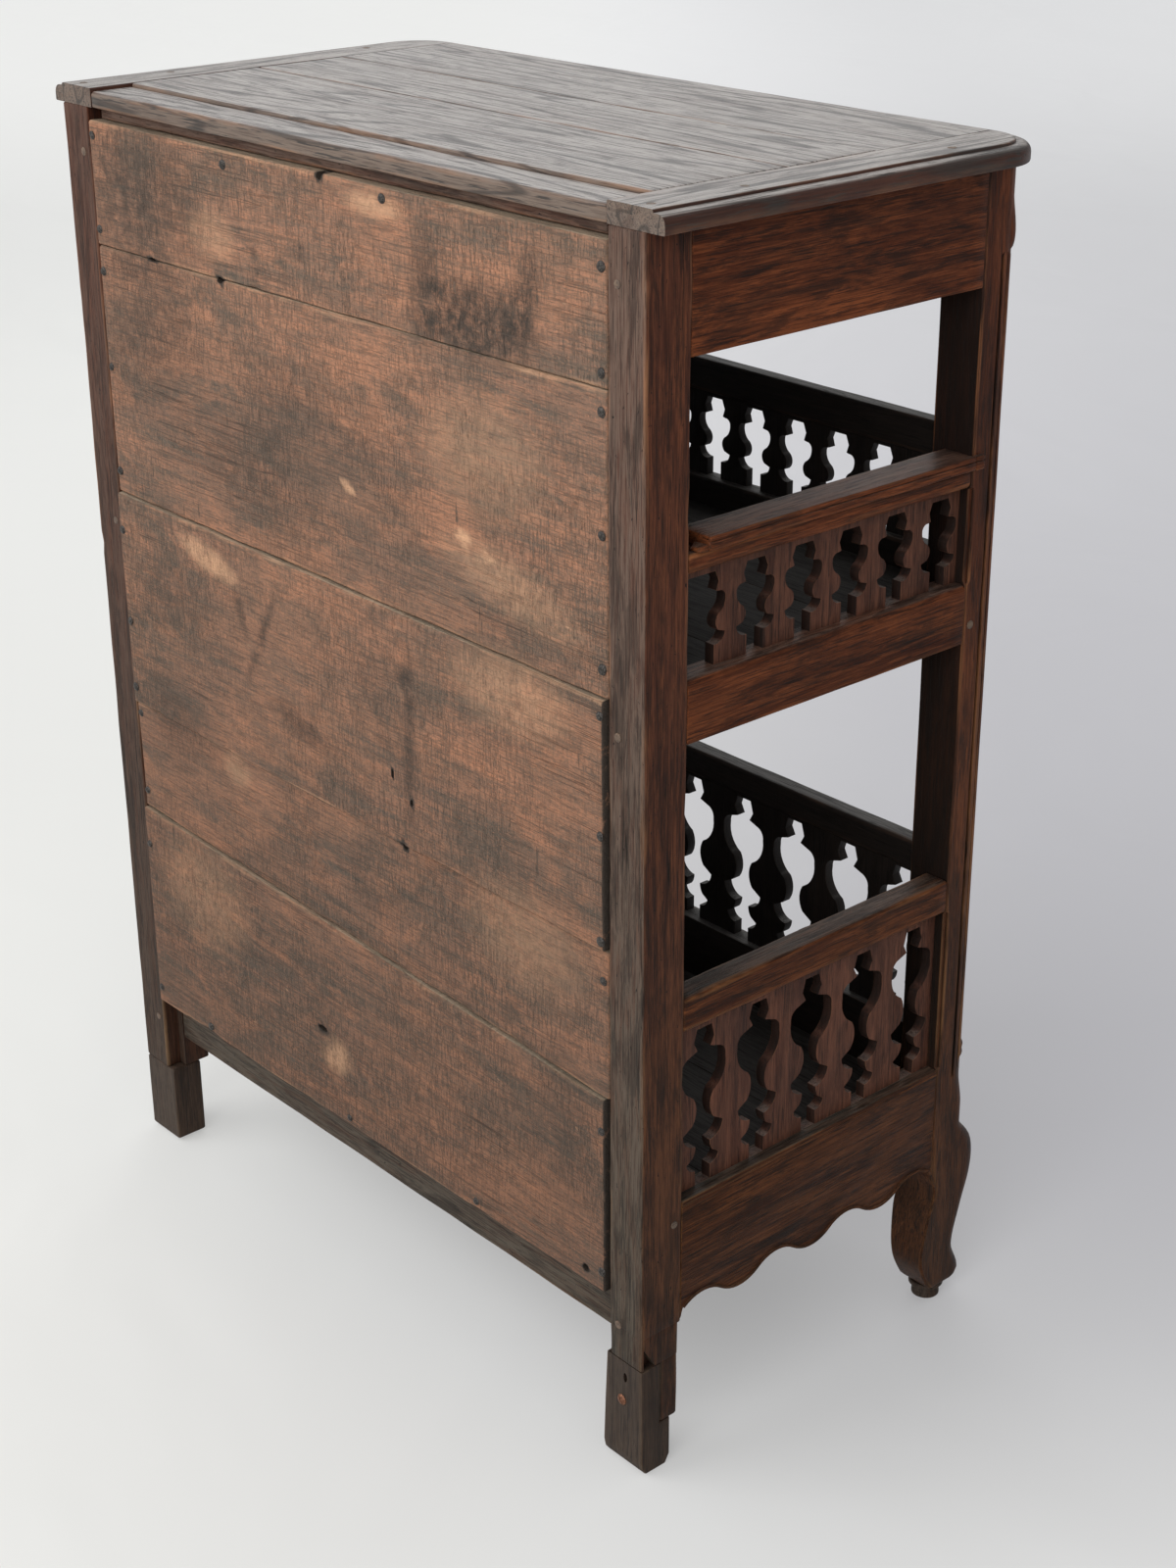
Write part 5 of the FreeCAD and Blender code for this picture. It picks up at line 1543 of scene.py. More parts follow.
@dataclass
class SideFrame:
    """Rails, cap, pierced panels and apron of one side."""

    side: Side
    recess: float = 12 * MM
    panel_thick: float = 10 * MM
    cap_proud: float = 5 * MM
    cap_wide: float = 30 * MM
    cap_lap: float = 10 * MM
    cap_break: float = 17 * MM
    gap_shift: float = 3 * MM
    splinter: tuple[tuple[Flat, ...], ...] = (
        ((-3.5, 0), (15, 0), (13, 5), (-3.5, 6)), ((-2, 0), (9, 0), (7, 3), (-2, 5)))
    scallops: int = 7

    def named(self, word: str) -> str:
        """A piece's node name on this side."""
        return "%s_%s" % (self.side.word, word)

    def corners(self, *spots: Corner) -> list[Corner]:
        """Section corners from distances inwards and levels."""
        turned = [(BODY.inwards(self.side, a), b, share) for a, b, share in spots]
        return turned if self.side is Side.LEFT else turned[::-1]

    def rail(self, word: str, section: Sequence[Corner], arris: Arris, seed: int) -> None:
        """Builds and dresses one rail between the posts.

        Args:
            word: Name of the rail without its side.
            section: Distances inwards, levels and roundings.
            arris: Rubbing of the edges.
            seed: Number that sets every irregularity.
        """
        bar = Bar(Axis.Y, BODY.front_post_back, BODY.rear_post_front, self.corners(*section), arris,
                  12 * MM, seed)
        publish_bars(self.named(word), Slot.DARK, DARK_OAK.material(Axis.Y), bar)

    def build(self) -> None:
        """Builds and dresses the whole side."""
        base = 40 if self.side is Side.LEFT else 60
        thick = BODY.rail_thick
        section = rectangle((0, BODY.frieze_bottom), (thick, BODY.post_top), (1, 1, 0, 0))
        self.rail("frieze_rail", section, PLAIN, base)
        section = rectangle((0, BODY.upper_rail_bottom), (thick, BODY.cap_bottom), (2.5, 1, 0, 1))
        self.rail("upper_gallery_rail", section, SOFT, base + 1)
        curve = arc((0, BODY.upper_sill - OVOLO), (OVOLO, BODY.upper_sill), -QUARTER_ROUND, 5)
        sill = [(a, b, 0.0) for a, b in reversed(curve)]
        self.rail("shelf_rail", [
            (0, BODY.shelf_rail_bottom, 1), (thick, BODY.shelf_rail_bottom, 1), (thick, BODY.upper_sill, 0),
            (OVOLO, BODY.upper_sill, 0), *sill], PLAIN, base + 2)
        section = rectangle((0, BODY.lower_rail_bottom), (thick, BODY.lower_rail_top), (1.5, 1, 1, 1.4))
        self.rail("lower_gallery_rail", section, SOFT, base + 3)
        self.cap(base + 4)
        self.apron(base + 5)
        self.panels(base + 6)

    def cap(self, seed: int) -> None:
        """Nosed cap whose proud edge laps the front post; the left one is broken at the rear.

        Args:
            seed: Number that sets every irregularity.
        """
        rear = BODY.rear_post_front - (self.cap_break if self.side is Side.LEFT else 0)
        low, high, proud = BODY.cap_bottom, BODY.cap_top, -self.cap_proud
        section = self.corners(
            (proud, low, 1), (self.cap_wide, low, 0.6), (self.cap_wide, high, 0.6), (proud, high, 0.5),
            *self.cap_groove())
        nose = self.corners(
            (proud, low, 1), (0, low, 0), (0, high, 0), (proud, high, 0.5), *self.cap_groove())
        start = BODY.front_post_back
        bars = [
            Bar(Axis.Y, start, rear, section, SOFT, 11 * MM, seed),
            Bar(Axis.Y, start - self.cap_lap, start + 1 * MM, nose, PLAIN, 5 * MM, seed),
        ]
        if self.side is Side.LEFT:
            near, far = (
                self.corners(*((across * MM, low + up * MM, 0.6) for across, up in splinter))
                for splinter in self.splinter)
            bars.append(Bar(Axis.Y, rear - 1 * MM, rear + 9 * MM, near, KNOCKED, 4 * MM, seed, far))
        oak = DARK_OAK.material(Axis.Y)
        publish_bars(self.named("upper_gallery_cap"), Slot.DARK, oak, *bars)

    def cap_groove(self) -> list[Corner]:
        """Corners of the fine groove cut under the cap's top arris."""
        low, high, deep = BODY.cap_top - 5 * MM, BODY.cap_top - 3.4 * MM, 1.4 * MM
        return [(-self.cap_proud, high, 0), (-self.cap_proud + deep, high - 0.3 * MM, 0),
                (-self.cap_proud + deep, low + 0.3 * MM, 0), (-self.cap_proud, low, 0)]

    def apron(self, seed: int) -> None:
        """Scalloped apron with a bead carved along its lower edge.

        Args:
            seed: Number that sets every irregularity.
        """
        start, end = BODY.front_post_back, BODY.rear_post_front
        line = scallop_line(start, end, self.scallops)
        loop = line + [(end, BODY.lower_sill), (start, BODY.lower_sill)]
        low, high = sorted((BODY.outer(self.side), BODY.inwards(self.side, BODY.rail_thick)))
        name = self.named("apron")
        oak = DARK_OAK.material(Axis.Y)
        publish(plate("worn_" + name, Axis.X, low, high, loop, 1.3 * MM, seed), Slot.DARK, oak, name)
        outer = BODY.inwards(self.side, 0.2 * MM)
        leg = FrontPost(self.side)
        levels = [leg.toe + 14 * MM + 6 * MM * k for k in range(18)]
        path = [Vector((outer, start + leg.leg(level)[1] * leg.knee - 2 * MM, level)) for level in levels]
        path += [Vector((outer, y, z + 1.6 * MM)) for y, z in line[1:-1]]
        level = BODY.lower_sill - 4.2 * MM
        sill = [Vector((outer, y, level)) for y in (start + 0.5 * MM, end - 0.5 * MM)]
        for word, way, radius in (("_edge_bead", path, 1.5 * MM), ("_sill_bead", sill, 1.0 * MM)):
            carrier = line_object("bead_path", way, False)
            trim = bead_tree().run(carrier, name + word, Radius=radius, Sides=8, Finish=oak)
            add_number(trim.data, "wear", [0.3] * len(trim.data.vertices))
            trim.data.shade_smooth()
            publish(trim, Slot.DARK, oak)

    def panels(self, seed: int) -> None:
        """Pierced panels; the left upper one has lost half of its rear splat.

        Args:
            seed: Number that sets every irregularity.
        """
        oak = GALLERY_OAK.material(Axis.Z)
        depth = min(BODY.inwards(self.side, self.recess + part) for part in (0, self.panel_thick))
        start, end = BODY.front_post_back, BODY.rear_post_front
        margins = (-self.gap_shift, self.gap_shift)
        rows = (
            Gallery(self.named("upper_gallery_panel"), UPPER_GAP, 6, start, end, BODY.upper_sill,
                    BODY.upper_rail_bottom, 8.3 * MM, self.panel_thick, margins, seed),
            Gallery(self.named("lower_gallery_panel"), LOWER_GAP, 5, start, end, BODY.lower_sill,
                    BODY.lower_rail_bottom, 12 * MM, self.panel_thick, margins, seed + 1),
        )
        for row in rows:
            panel = row.build(oak)
            if self.side is Side.LEFT and row.shape is UPPER_GAP:
                self.lose_half_splat(panel, row)
            row.settle(panel, Axis.Y, depth, oak)

    def lose_half_splat(self, panel: Piece, row: Gallery) -> None:
        """Cuts the lost half of the rear splat out of a flat panel.

        Args:
            panel: The flat panel.
            row: The gallery that it belongs to.
        """
        pitch = (row.end - row.start) / row.count
        middle = row.end - row.start - pitch / 2 - self.gap_shift
        spare = 1 * MM
        top = row.tongue + row.head - row.sill - row.headroom
        lost = rectangle((middle, row.tongue), (row.end - row.start + spare, top), SHARP)
        tool = Bar(Axis.Z, -spare, row.thick + spare, lost, KEEN)
        cut_away(panel, build_bars("splat_tool", [tool]))


@dataclass
class FrontFrame:
    """Rails, pierced panels and apron of the front."""

    scallops: int = 15
    upper_thick: float = 15 * MM
    shelf_thick: float = 20 * MM
    lower_thick: float = 18 * MM
    apron_thick: float = 22 * MM
    frieze_thick: float = 25 * MM
    upper_rail_low: float = 826 * MM
    upper_rail_high: float = 857 * MM
    shelf_rail_high: float = 746 * MM
    lower_rail_low: float = 437 * MM
    lower_rail_high: float = 465 * MM
    apron_high: float = 279.5 * MM

    def build(self) -> None:
        """Builds and dresses the whole front."""
        start, end = BODY.left + BODY.front_post_width, BODY.right - BODY.front_post_width
        oak = SHADED_FRONT_OAK.material(Axis.X)
        rails = {
            "front_frieze_rail": (self.frieze_thick, BODY.frieze_bottom, BODY.post_top),
            "front_upper_gallery_rail": (self.upper_thick, self.upper_rail_low, self.upper_rail_high),
            "front_shelf_rail": (self.shelf_thick, BODY.shelf_rail_bottom, self.shelf_rail_high),
            "front_lower_gallery_rail": (self.lower_thick, self.lower_rail_low, self.lower_rail_high),
        }
        for seed, (name, (thick, low, high)) in enumerate(rails.items(), 80):
            near = rectangle((BODY.front, low), (BODY.front + thick, high))
            rail = Bar(Axis.X, start, end, near, SOFT, 14 * MM, seed)
            publish_bars(name, Slot.DARK, oak, rail)
        self.apron(start, end, oak)
        panel_oak = SHADED_FRONT_OAK.material(Axis.Z)
        rows = (
            (Gallery("front_upper_gallery_panel", UPPER_GAP, 13, start, end, self.shelf_rail_high,
                     self.upper_rail_low, 4.3 * MM, 8 * MM, (7 * MM, 7 * MM), 85), self.upper_thick),
            (Gallery("front_lower_gallery_panel", LOWER_GAP, 10, start, end, self.apron_high,
                     self.lower_rail_low, 5 * MM, 10 * MM, (0.0, 0.0), 86), self.lower_thick),
        )
        for row, rail_thick in rows:
            panel = row.build(panel_oak)
            row.settle(panel, Axis.X, BODY.front + (rail_thick - row.thick) / 2, panel_oak)

    def apron(self, start: float, end: float, oak: Material) -> None:
        """Scalloped apron under the front.

        Args:
            start: X of its left end.
            end: X of its right end.
            oak: Its finish.
        """
        line = scallop_line(start, end, self.scallops) + [(end, self.apron_high), (start, self.apron_high)]
        inner = BODY.front + self.apron_thick
        apron = plate("worn_front_apron", Axis.Y, BODY.front, inner, line, 1.3 * MM, 84)
        publish(apron, Slot.DARK, oak, "front_apron")


@dataclass
class FrontPost:
    """A front post and its cabriole leg, with a sunk moulding on the corner between knee and frieze.

    A row of sections gives a place up the leg, then the reach of the front, the offset of the rear edge and
    the narrowing. A row of moulding gives a place round half of the corner, the lift and the wear.
    """

    side: Side
    knee: float = 22 * MM
    leg_top: float = 190 * MM
    toe: float = 17 * MM
    round: float = 21 * MM
    leg_round: float = 13 * MM
    leg_round_below: float = 212 * MM
    quirk_wide: float = 3.4 * MM
    quirk_deep: float = 3.6 * MM
    groove_deep: float = 2.2 * MM
    bead_rise: float = 0.7 * MM
    stop_low: float = 247 * MM
    stop_high: float = 277 * MM
    stop_top: float = 1012 * MM
    fade: float = 5 * MM
    bud_low: float = 1012 * MM
    bud_high: float = 1053 * MM
    bud_rise: float = 3 * MM
    edge_step: float = 2.6 * MM
    deep: float = 45 * MM
    sections: tuple[tuple[float, float, float, float], ...] = (
        (0.00, 0.27, -0.45, 0.59), (0.045, 0.50, -0.14, 0.45), (0.22, -0.02, 0.39, 0.36),
        (0.47, 0.45, 0.09, 0.05), (0.64, 0.91, -0.25, 0.00), (0.77, 1.00, 0.00, 0.00),
        (0.88, 0.78, 0.00, 0.00), (1.00, 0.00, 0.00, 0.00))
    moulding: tuple[Corner, ...] = (
        (0.0, 0.0, 1.0), (0.07, 0.0, 0.6), (0.22, 0.0, 0.5), (0.27, 0.0, 1.0), (0.29, -1.0, 0.0),
        (0.36, -1.0, 0.0), (0.38, 0.0, 0.9), (0.46, 0.7, 1.0), (0.56, 1.0, 0.9), (0.66, 0.8, 0.7),
        (0.74, 0.2, 0.4), (0.78, -0.5, 0.0), (0.84, -0.5, 0.0), (0.88, 0.0, 0.3), (1.0, 0.0, 0.2))
    foot_radius: float = 16.5 * MM
    foot_place: Flat = (17.8 * MM, 22 * MM)

    def leg(self, level: float) -> Corner:
        """Reach of the front, offset of the rear edge and narrowing at a level, as shares of the knee.

        Args:
            level: Height above the floor.

        Returns:
            The three shares.
        """
        share = (level - self.toe) / (self.leg_top - self.toe)
        rows = self.sections
        if share >= 1:
            return 0.0, 0.0, 0.0
        i = max(k for k in range(len(rows) - 1) if rows[k][0] <= max(share, 0.0))
        low, high = rows[i], rows[i + 1]
        before, after = rows[max(i - 1, 0)], rows[min(i + 2, len(rows) - 1)]
        step = high[0] - low[0]
        t = (share - low[0]) / step
        found = []
        for k in (1, 2, 3):
            rise = (high[k] - before[k]) / max(high[0] - before[0], 1e-6) * step
            leave = (after[k] - low[k]) / max(after[0] - low[0], 1e-6) * step
            found.append((2 * t ** 3 - 3 * t ** 2 + 1) * low[k] + (t ** 3 - 2 * t ** 2 + t) * rise
                         + (3 * t ** 2 - 2 * t ** 3) * high[k] + (t ** 3 - t ** 2) * leave)
        return found[0], found[1], found[2]

    def moulded(self, level: float, turn: float) -> float:
        """How far the moulding has come in, from 0 to 1; its lower stop slants round the corner.

        Args:
            level: Height above the floor.
            turn: Place on the corner, 0 beside the quirk and 1 in the middle.

        Returns:
            The share of the moulding's depth.
        """
        stop = self.stop_low + (self.stop_high - self.stop_low) * turn
        return eased(min((level - stop) / self.fade, (self.stop_top - level) / self.fade))

    def swell(self, level: float, turn: float) -> float:
        """Rise of the carved bud at the top of the moulding and of the two small ones at its foot.

        Args:
            level: Height above the floor.
            turn: Place on the corner, 1 in the middle.

        Returns:
            The rise in metres.
        """
        rise = 0.0
        share = (level - self.bud_low) / (self.bud_high - self.bud_low)
        if 0 < share < 1:
            rise = self.bud_rise * sin(pi * share ** 0.6)
        for middle in (self.stop_high - 9 * MM, self.stop_high - 1 * MM):
            rise = max(rise, 2 * MM * max(0.0, 1 - ((level - middle) / (4.5 * MM)) ** 2))
        return rise * max(0.0, 1 - ((1 - turn) / 0.55) ** 2)

    def rounding(self, level: float) -> float:
        """Radius of the corner, which is less on the leg than on the post."""
        share = eased((level - self.leg_round_below) / (self.stop_low - self.leg_round_below))
        return self.leg_round + (self.round - self.leg_round) * share

    def corner(self, level: float) -> list[Corner]:
        """The rounded corner from the side face to the front, with fillet, grooves and bead.

        Args:
            level: Height above the floor.

        Returns:
            Distances inwards and backwards and the wear of each point.
        """
        m = self.moulded(level, 0.0)
        radius = self.rounding(level)
        far = radius + self.quirk_wide
        sink = self.quirk_deep * m
        quirk = [
            (0.0, far + 1.2 * MM, 0.0), (0.0, far, 0.7 * m), (sink, far - 0.5 * MM, 0.0),
            (sink, radius + 0.5 * MM, 0.0)]
        half = []
        for turn, lift, rub in self.moulding:
            share = self.moulded(level, turn)
            rise = (self.bead_rise if lift > 0 else self.groove_deep) * lift * share
            angle = pi / 4 * turn
            reach = radius + (rise + self.swell(level, turn))
            half.append((radius - reach * cos(angle), radius - reach * sin(angle), rub * share))
        side = quirk + half
        return side + [(b, a, rub) for a, b, rub in reversed(side[:-1])]

    def back_edge(self, level: float, back: float) -> list[Corner]:
        """The arris beside the panels, stepped where a panel stands in it.

        Args:
            level: Height above the floor.
            back: Distance of the post's back from its front.

        Returns:
            Distances inwards and backwards and the wear of each point.
        """
        spans = ((BODY.lower_sill, BODY.lower_rail_bottom), (BODY.upper_sill, BODY.upper_rail_bottom))
        inside = max(min(level - low, high - level) for low, high in spans)
        step = self.edge_step * min(1.0, max(0.0, inside / (2 * MM)))
        edge = 0.9 * MM
        inner = back - step
        return [
            (step + edge * 2, back, 0.0), (step + edge, back, 0.7), (step, back - edge, 0.3),
            (step, inner - edge, 0.0), (edge, inner - edge, 0.8), (0.0, inner - edge * 2, 0.8),
            (0.0, inner - edge * 4, 0.0)]

    def ring(self, level: float, inset: float) -> tuple[list[Vector], list[float]]:
        """Section at a level.

        Args:
            level: Height above the floor.
            inset: Distance by which the outline is drawn in, for the rounded ends.

        Returns:
            The points in world coordinates and the wear of each.
        """
        reach, rear, narrow = (value * self.knee for value in self.leg(level))
        inner, back = BODY.front_post_width - narrow, self.deep + rear
        far, edge = self.rounding(level) + self.quirk_wide, 1.5 * MM
        middle = (back + far) / 2
        spots = self.back_edge(level, back) + [(0.0, middle, 0.0)] + self.corner(level)
        spots += [
            ((far + inner) / 2, 0.0, 0.0), (inner - edge * 2, 0.0, 0.0),
            (inner - edge, 0.0, 0.8), (inner, edge, 0.8), (inner, edge * 2, 0.0), (inner, back / 2, 0.0),
            (inner, back - edge * 2, 0.0), (inner, back - edge, 0.8), (inner - edge, back, 0.8),
            (inner - edge * 2, back, 0.0)]
        centre = Vector((inner / 2, back / 2))
        points = []
        for a, b, rub in spots:
            stretch = max(0.0, 1 - b / back)
            flat = Vector((min(a, inner), b - reach * stretch ** 0.6))
            flat += (centre - flat).normalized() * inset
            spot = Vector((BODY.inwards(self.side, flat.x), BODY.front + flat.y, level))
            points.append(wobbled(spot, 0.2 * MM, 30 + self.side.value))
        return points, [rub for a, b, rub in spots]

    def levels(self) -> list[float]:
        """Levels of the sections, closer together where the leg curves and the moulding ends."""
        runs = ((24, 236, 5), (238, 290, 2), (296, 420, 12), (424, 432, 2), (440, 730, 12), (732, 740, 2),
                (748, 814, 12), (816, 824, 2), (832, 1000, 12), (1004, 1050, 2), (1054, 1081, 9))
        return [level * MM for low, high, step in runs for level in range(low, high, step)]

    def build(self) -> None:
        """Builds and dresses the post."""
        edge = 2.5 * MM
        stations = [(self.toe, edge), (self.toe + edge * 0.35, edge * 0.35), (self.toe + edge, 0.0)]
        stations += [(level, 0.0) for level in self.levels()]
        stations += [(BODY.post_top - 1.2 * MM, 0.0), (BODY.post_top, 1.2 * MM)]
        rings, wear = [], []
        for level, inset in stations:
            points, rubs = self.ring(level, inset)
            rings.append(points)
            wear += rubs
        name = "%s_front_post" % self.side.word
        post = lofted("moulded_" + name, rings, wear, 31 + self.side.value)
        publish(post, Slot.DARK, FRONT_POST_OAK.material(Axis.Z), name)
        self.foot()

    def foot(self) -> None:
        """Turned two-tier foot under the toe."""
        shape = ((0.7, 0.0), (0.8, 1.0), (0.8, 4), (0.72, 6.5), (0.72, 10.5), (0.94, 12), (1.0, 13),
                 (1.0, 16.2), (0.95, 17))
        profile = [(self.foot_radius * share, level * MM) for share, level in shape]
        centre = (BODY.inwards(self.side, self.foot_place[0]), BODY.front + self.foot_place[1])
        name = "%s_front_peg_foot" % self.side.word
        foot = lathe("turned_" + name, centre, profile, 28, 34)
        publish(foot, Slot.DARK, FOOT_OAK.material(Axis.Z), name)


@dataclass
class Shelves:
    """Shelf boards on their bearers."""

    places: tuple[str, ...] = ("front", "middle", "rear")

    def build(self) -> None:
        """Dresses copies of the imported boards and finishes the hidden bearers."""
        oak, bearer_oak = (SHELF_OAK.material(axis) for axis in (Axis.X, Axis.Y))
        shelves = ("upper", "lower")
        boards = ["%s_shelf_board_%s" % (shelf, place) for shelf in shelves for place in self.places]
        for seed, name in enumerate(boards, 90):
            publish(node_copy(name, "worn_" + name, 1 * MM, seed), Slot.SHELF, oak, name)
        for side in Side:
            for shelf in shelves:
                dress_node("%s_%s_shelf_bearer" % (side.word, shelf), bearer_oak)
        dress_node("rear_shelf_rail", oak)


@dataclass
class TopSlab:
    """Boards and strip of the top, held between two moulded clamps."""

    left: float = -405 * MM
    right: float = 405 * MM
    front: float = -213.5 * MM
    clamp: float = 60 * MM
    corner: float = 55 * MM
    edge_round: float = 7.5 * MM
    edge_step: float = 2.5 * MM
    edge_inset: float = 12.5 * MM
    strip_lower: float = 3 * MM
    seams: tuple[float, float, float] = (171.5 * MM, 32.5 * MM, -64.5 * MM)
    front_rows: tuple[float, ...] = (-180 * MM, -150 * MM, -110 * MM, -80 * MM)
    drift: float = 0.25 * MM
    long_steps: int = 58
    side_steps: int = 36
    corner_steps: int = 14

    def edge_profile(self) -> list[Corner]:
        """The moulded edge from below as distance inwards, level and wear.

        Returns:
            The points in order.
        """
        top, step = BODY.top, BODY.top - self.edge_step
        rounded = []
        for k in range(7):
            angle = pi / 2 * k / 6
            rounded.append((self.edge_round * (1 - cos(angle)),
                            step - self.edge_round * (1 - sin(angle)), 0.04))
        return [
            (1.2 * MM, BODY.post_top, 0.0), (0.3 * MM, BODY.post_top + 0.3 * MM, 0.9),
            (0.0, BODY.post_top + 1.2 * MM, 0.5), *rounded, (self.edge_inset - 0.4 * MM, step, 0.0),
            (self.edge_inset, top - 1.0 * MM, 0.3), (self.edge_inset + 0.5 * MM, top - 0.3 * MM, 1.0),
            (self.edge_inset + 1.4 * MM, top, 0.4), (self.edge_inset + 4 * MM, top, 0.0)]

    def build(self) -> None:
        """Builds and dresses clamps, boards and strip."""
        self.clamp_end(Side.LEFT)
        self.clamp_end(Side.RIGHT)
        oak = TOP_OAK.material(Axis.X)
        low, high = self.left + self.clamp, self.right - self.clamp
        strip, rear, middle = self.seams
        planks = {
            "top_board_middle": (middle, rear, BODY.top, 1.0),
            "top_board_rear": (rear, strip, BODY.top, 1.0),
            "top_back_strip": (strip, BODY.back, BODY.top - self.strip_lower, 1.2),
        }
        for seed, (name, (y_low, y_high, level, share)) in enumerate(planks.items(), 100):
            near = rectangle((y_low, BODY.post_top), (y_high, level), (0.6, 0.6, share, share))
            bar = Bar(Axis.X, low, high, near, SOFT, 12 * MM, seed)
            publish_bars(name, Slot.TOP, oak, bar)
        self.front_board(low, high, oak)

    def front_board(self, low: float, high: float, oak: Material) -> None:
        """Front board with the moulded edge along its front.

        Args:
            low: X of its left end.
            high: X of its right end.
            oak: Its finish.
        """
        profile = self.edge_profile()
        seam = self.seams[2]
        section = [(self.front + inset, level, rub) for inset, level, rub in profile]
        section += [(y, BODY.top, 0.0) for y in self.front_rows]
        section += [(seam - 1.5 * MM, BODY.top, 0.0), (seam - 0.3 * MM, BODY.top - 0.3 * MM, 0.8),
                    (seam, BODY.top - 1.5 * MM, 0.2), (seam, BODY.post_top, 0.0)]
        rings, wear = [], []
        for k in range(self.long_steps + 1):
            x = low + (high - low) * k / self.long_steps
            rings.append([wobbled(Vector((x, y, z)), self.drift, 104) for y, z, rub in section])
            wear += [rub for y, z, rub in section]
        board = lofted("moulded_top_board_front", rings, wear, 104)
        publish(board, Slot.TOP, oak, "top_board_front")

    def clamp_end(self, side: Side) -> None:
        """A clamp with the moulded edge round its outer side and front corner.

        Args:
            side: End of the top that it holds.
        """
        profile = self.edge_profile()
        outer = self.left if side is Side.LEFT else self.right
        sign = side.value
        seam = outer + sign * self.clamp
        path: list[tuple[Vector, Vector]] = []
        for k in range(self.side_steps + 1):
            y = BODY.back + (self.front + self.corner - BODY.back) * k / self.side_steps
            path.append((Vector((outer, y)), Vector((sign, 0.0))))
        centre = Vector((outer + sign * self.corner, self.front + self.corner))
        for k in range(1, self.corner_steps + 1):
            angle = pi / 2 * k / self.corner_steps
            way = Vector((sign * cos(angle), sin(angle)))
            path.append((centre - way * self.corner, way))
        path.append((Vector((seam, self.front)), Vector((0.0, 1.0))))
        rings, wear = [], []
        for number, (spot, way) in enumerate(path):
            ring = [Vector((*(spot + way * inset), level)) for inset, level, rub in profile]
            last, edge = ring[-1], 0.8 * MM
            y = max(last.y, self.front)
            ring += [Vector((last.x + (seam - last.x) * share, y, BODY.top)) for share in (0.35, 0.7)]
            ring += [Vector((seam - sign * edge, y, BODY.top)), Vector((seam, y, BODY.top - edge)),
                     Vector((seam, max(spot.y, self.front), BODY.post_top))]
            rubs = [rub for inset, level, rub in profile] + [0.0, 0.0, 0.4, 0.4, 0.0]
            if number == 0:
                rubs = [min(rub, 0.15) for rub in rubs]
            rings.append([wobbled(point, self.drift, 105 + sign) for point in ring])
            wear += rubs
        name = "%s_top_clamp" % side.word
        clamp = lofted("moulded_" + name, rings, wear, 106 + sign)
        publish(clamp, Slot.TOP, TOP_OAK.material(Axis.Y), name)


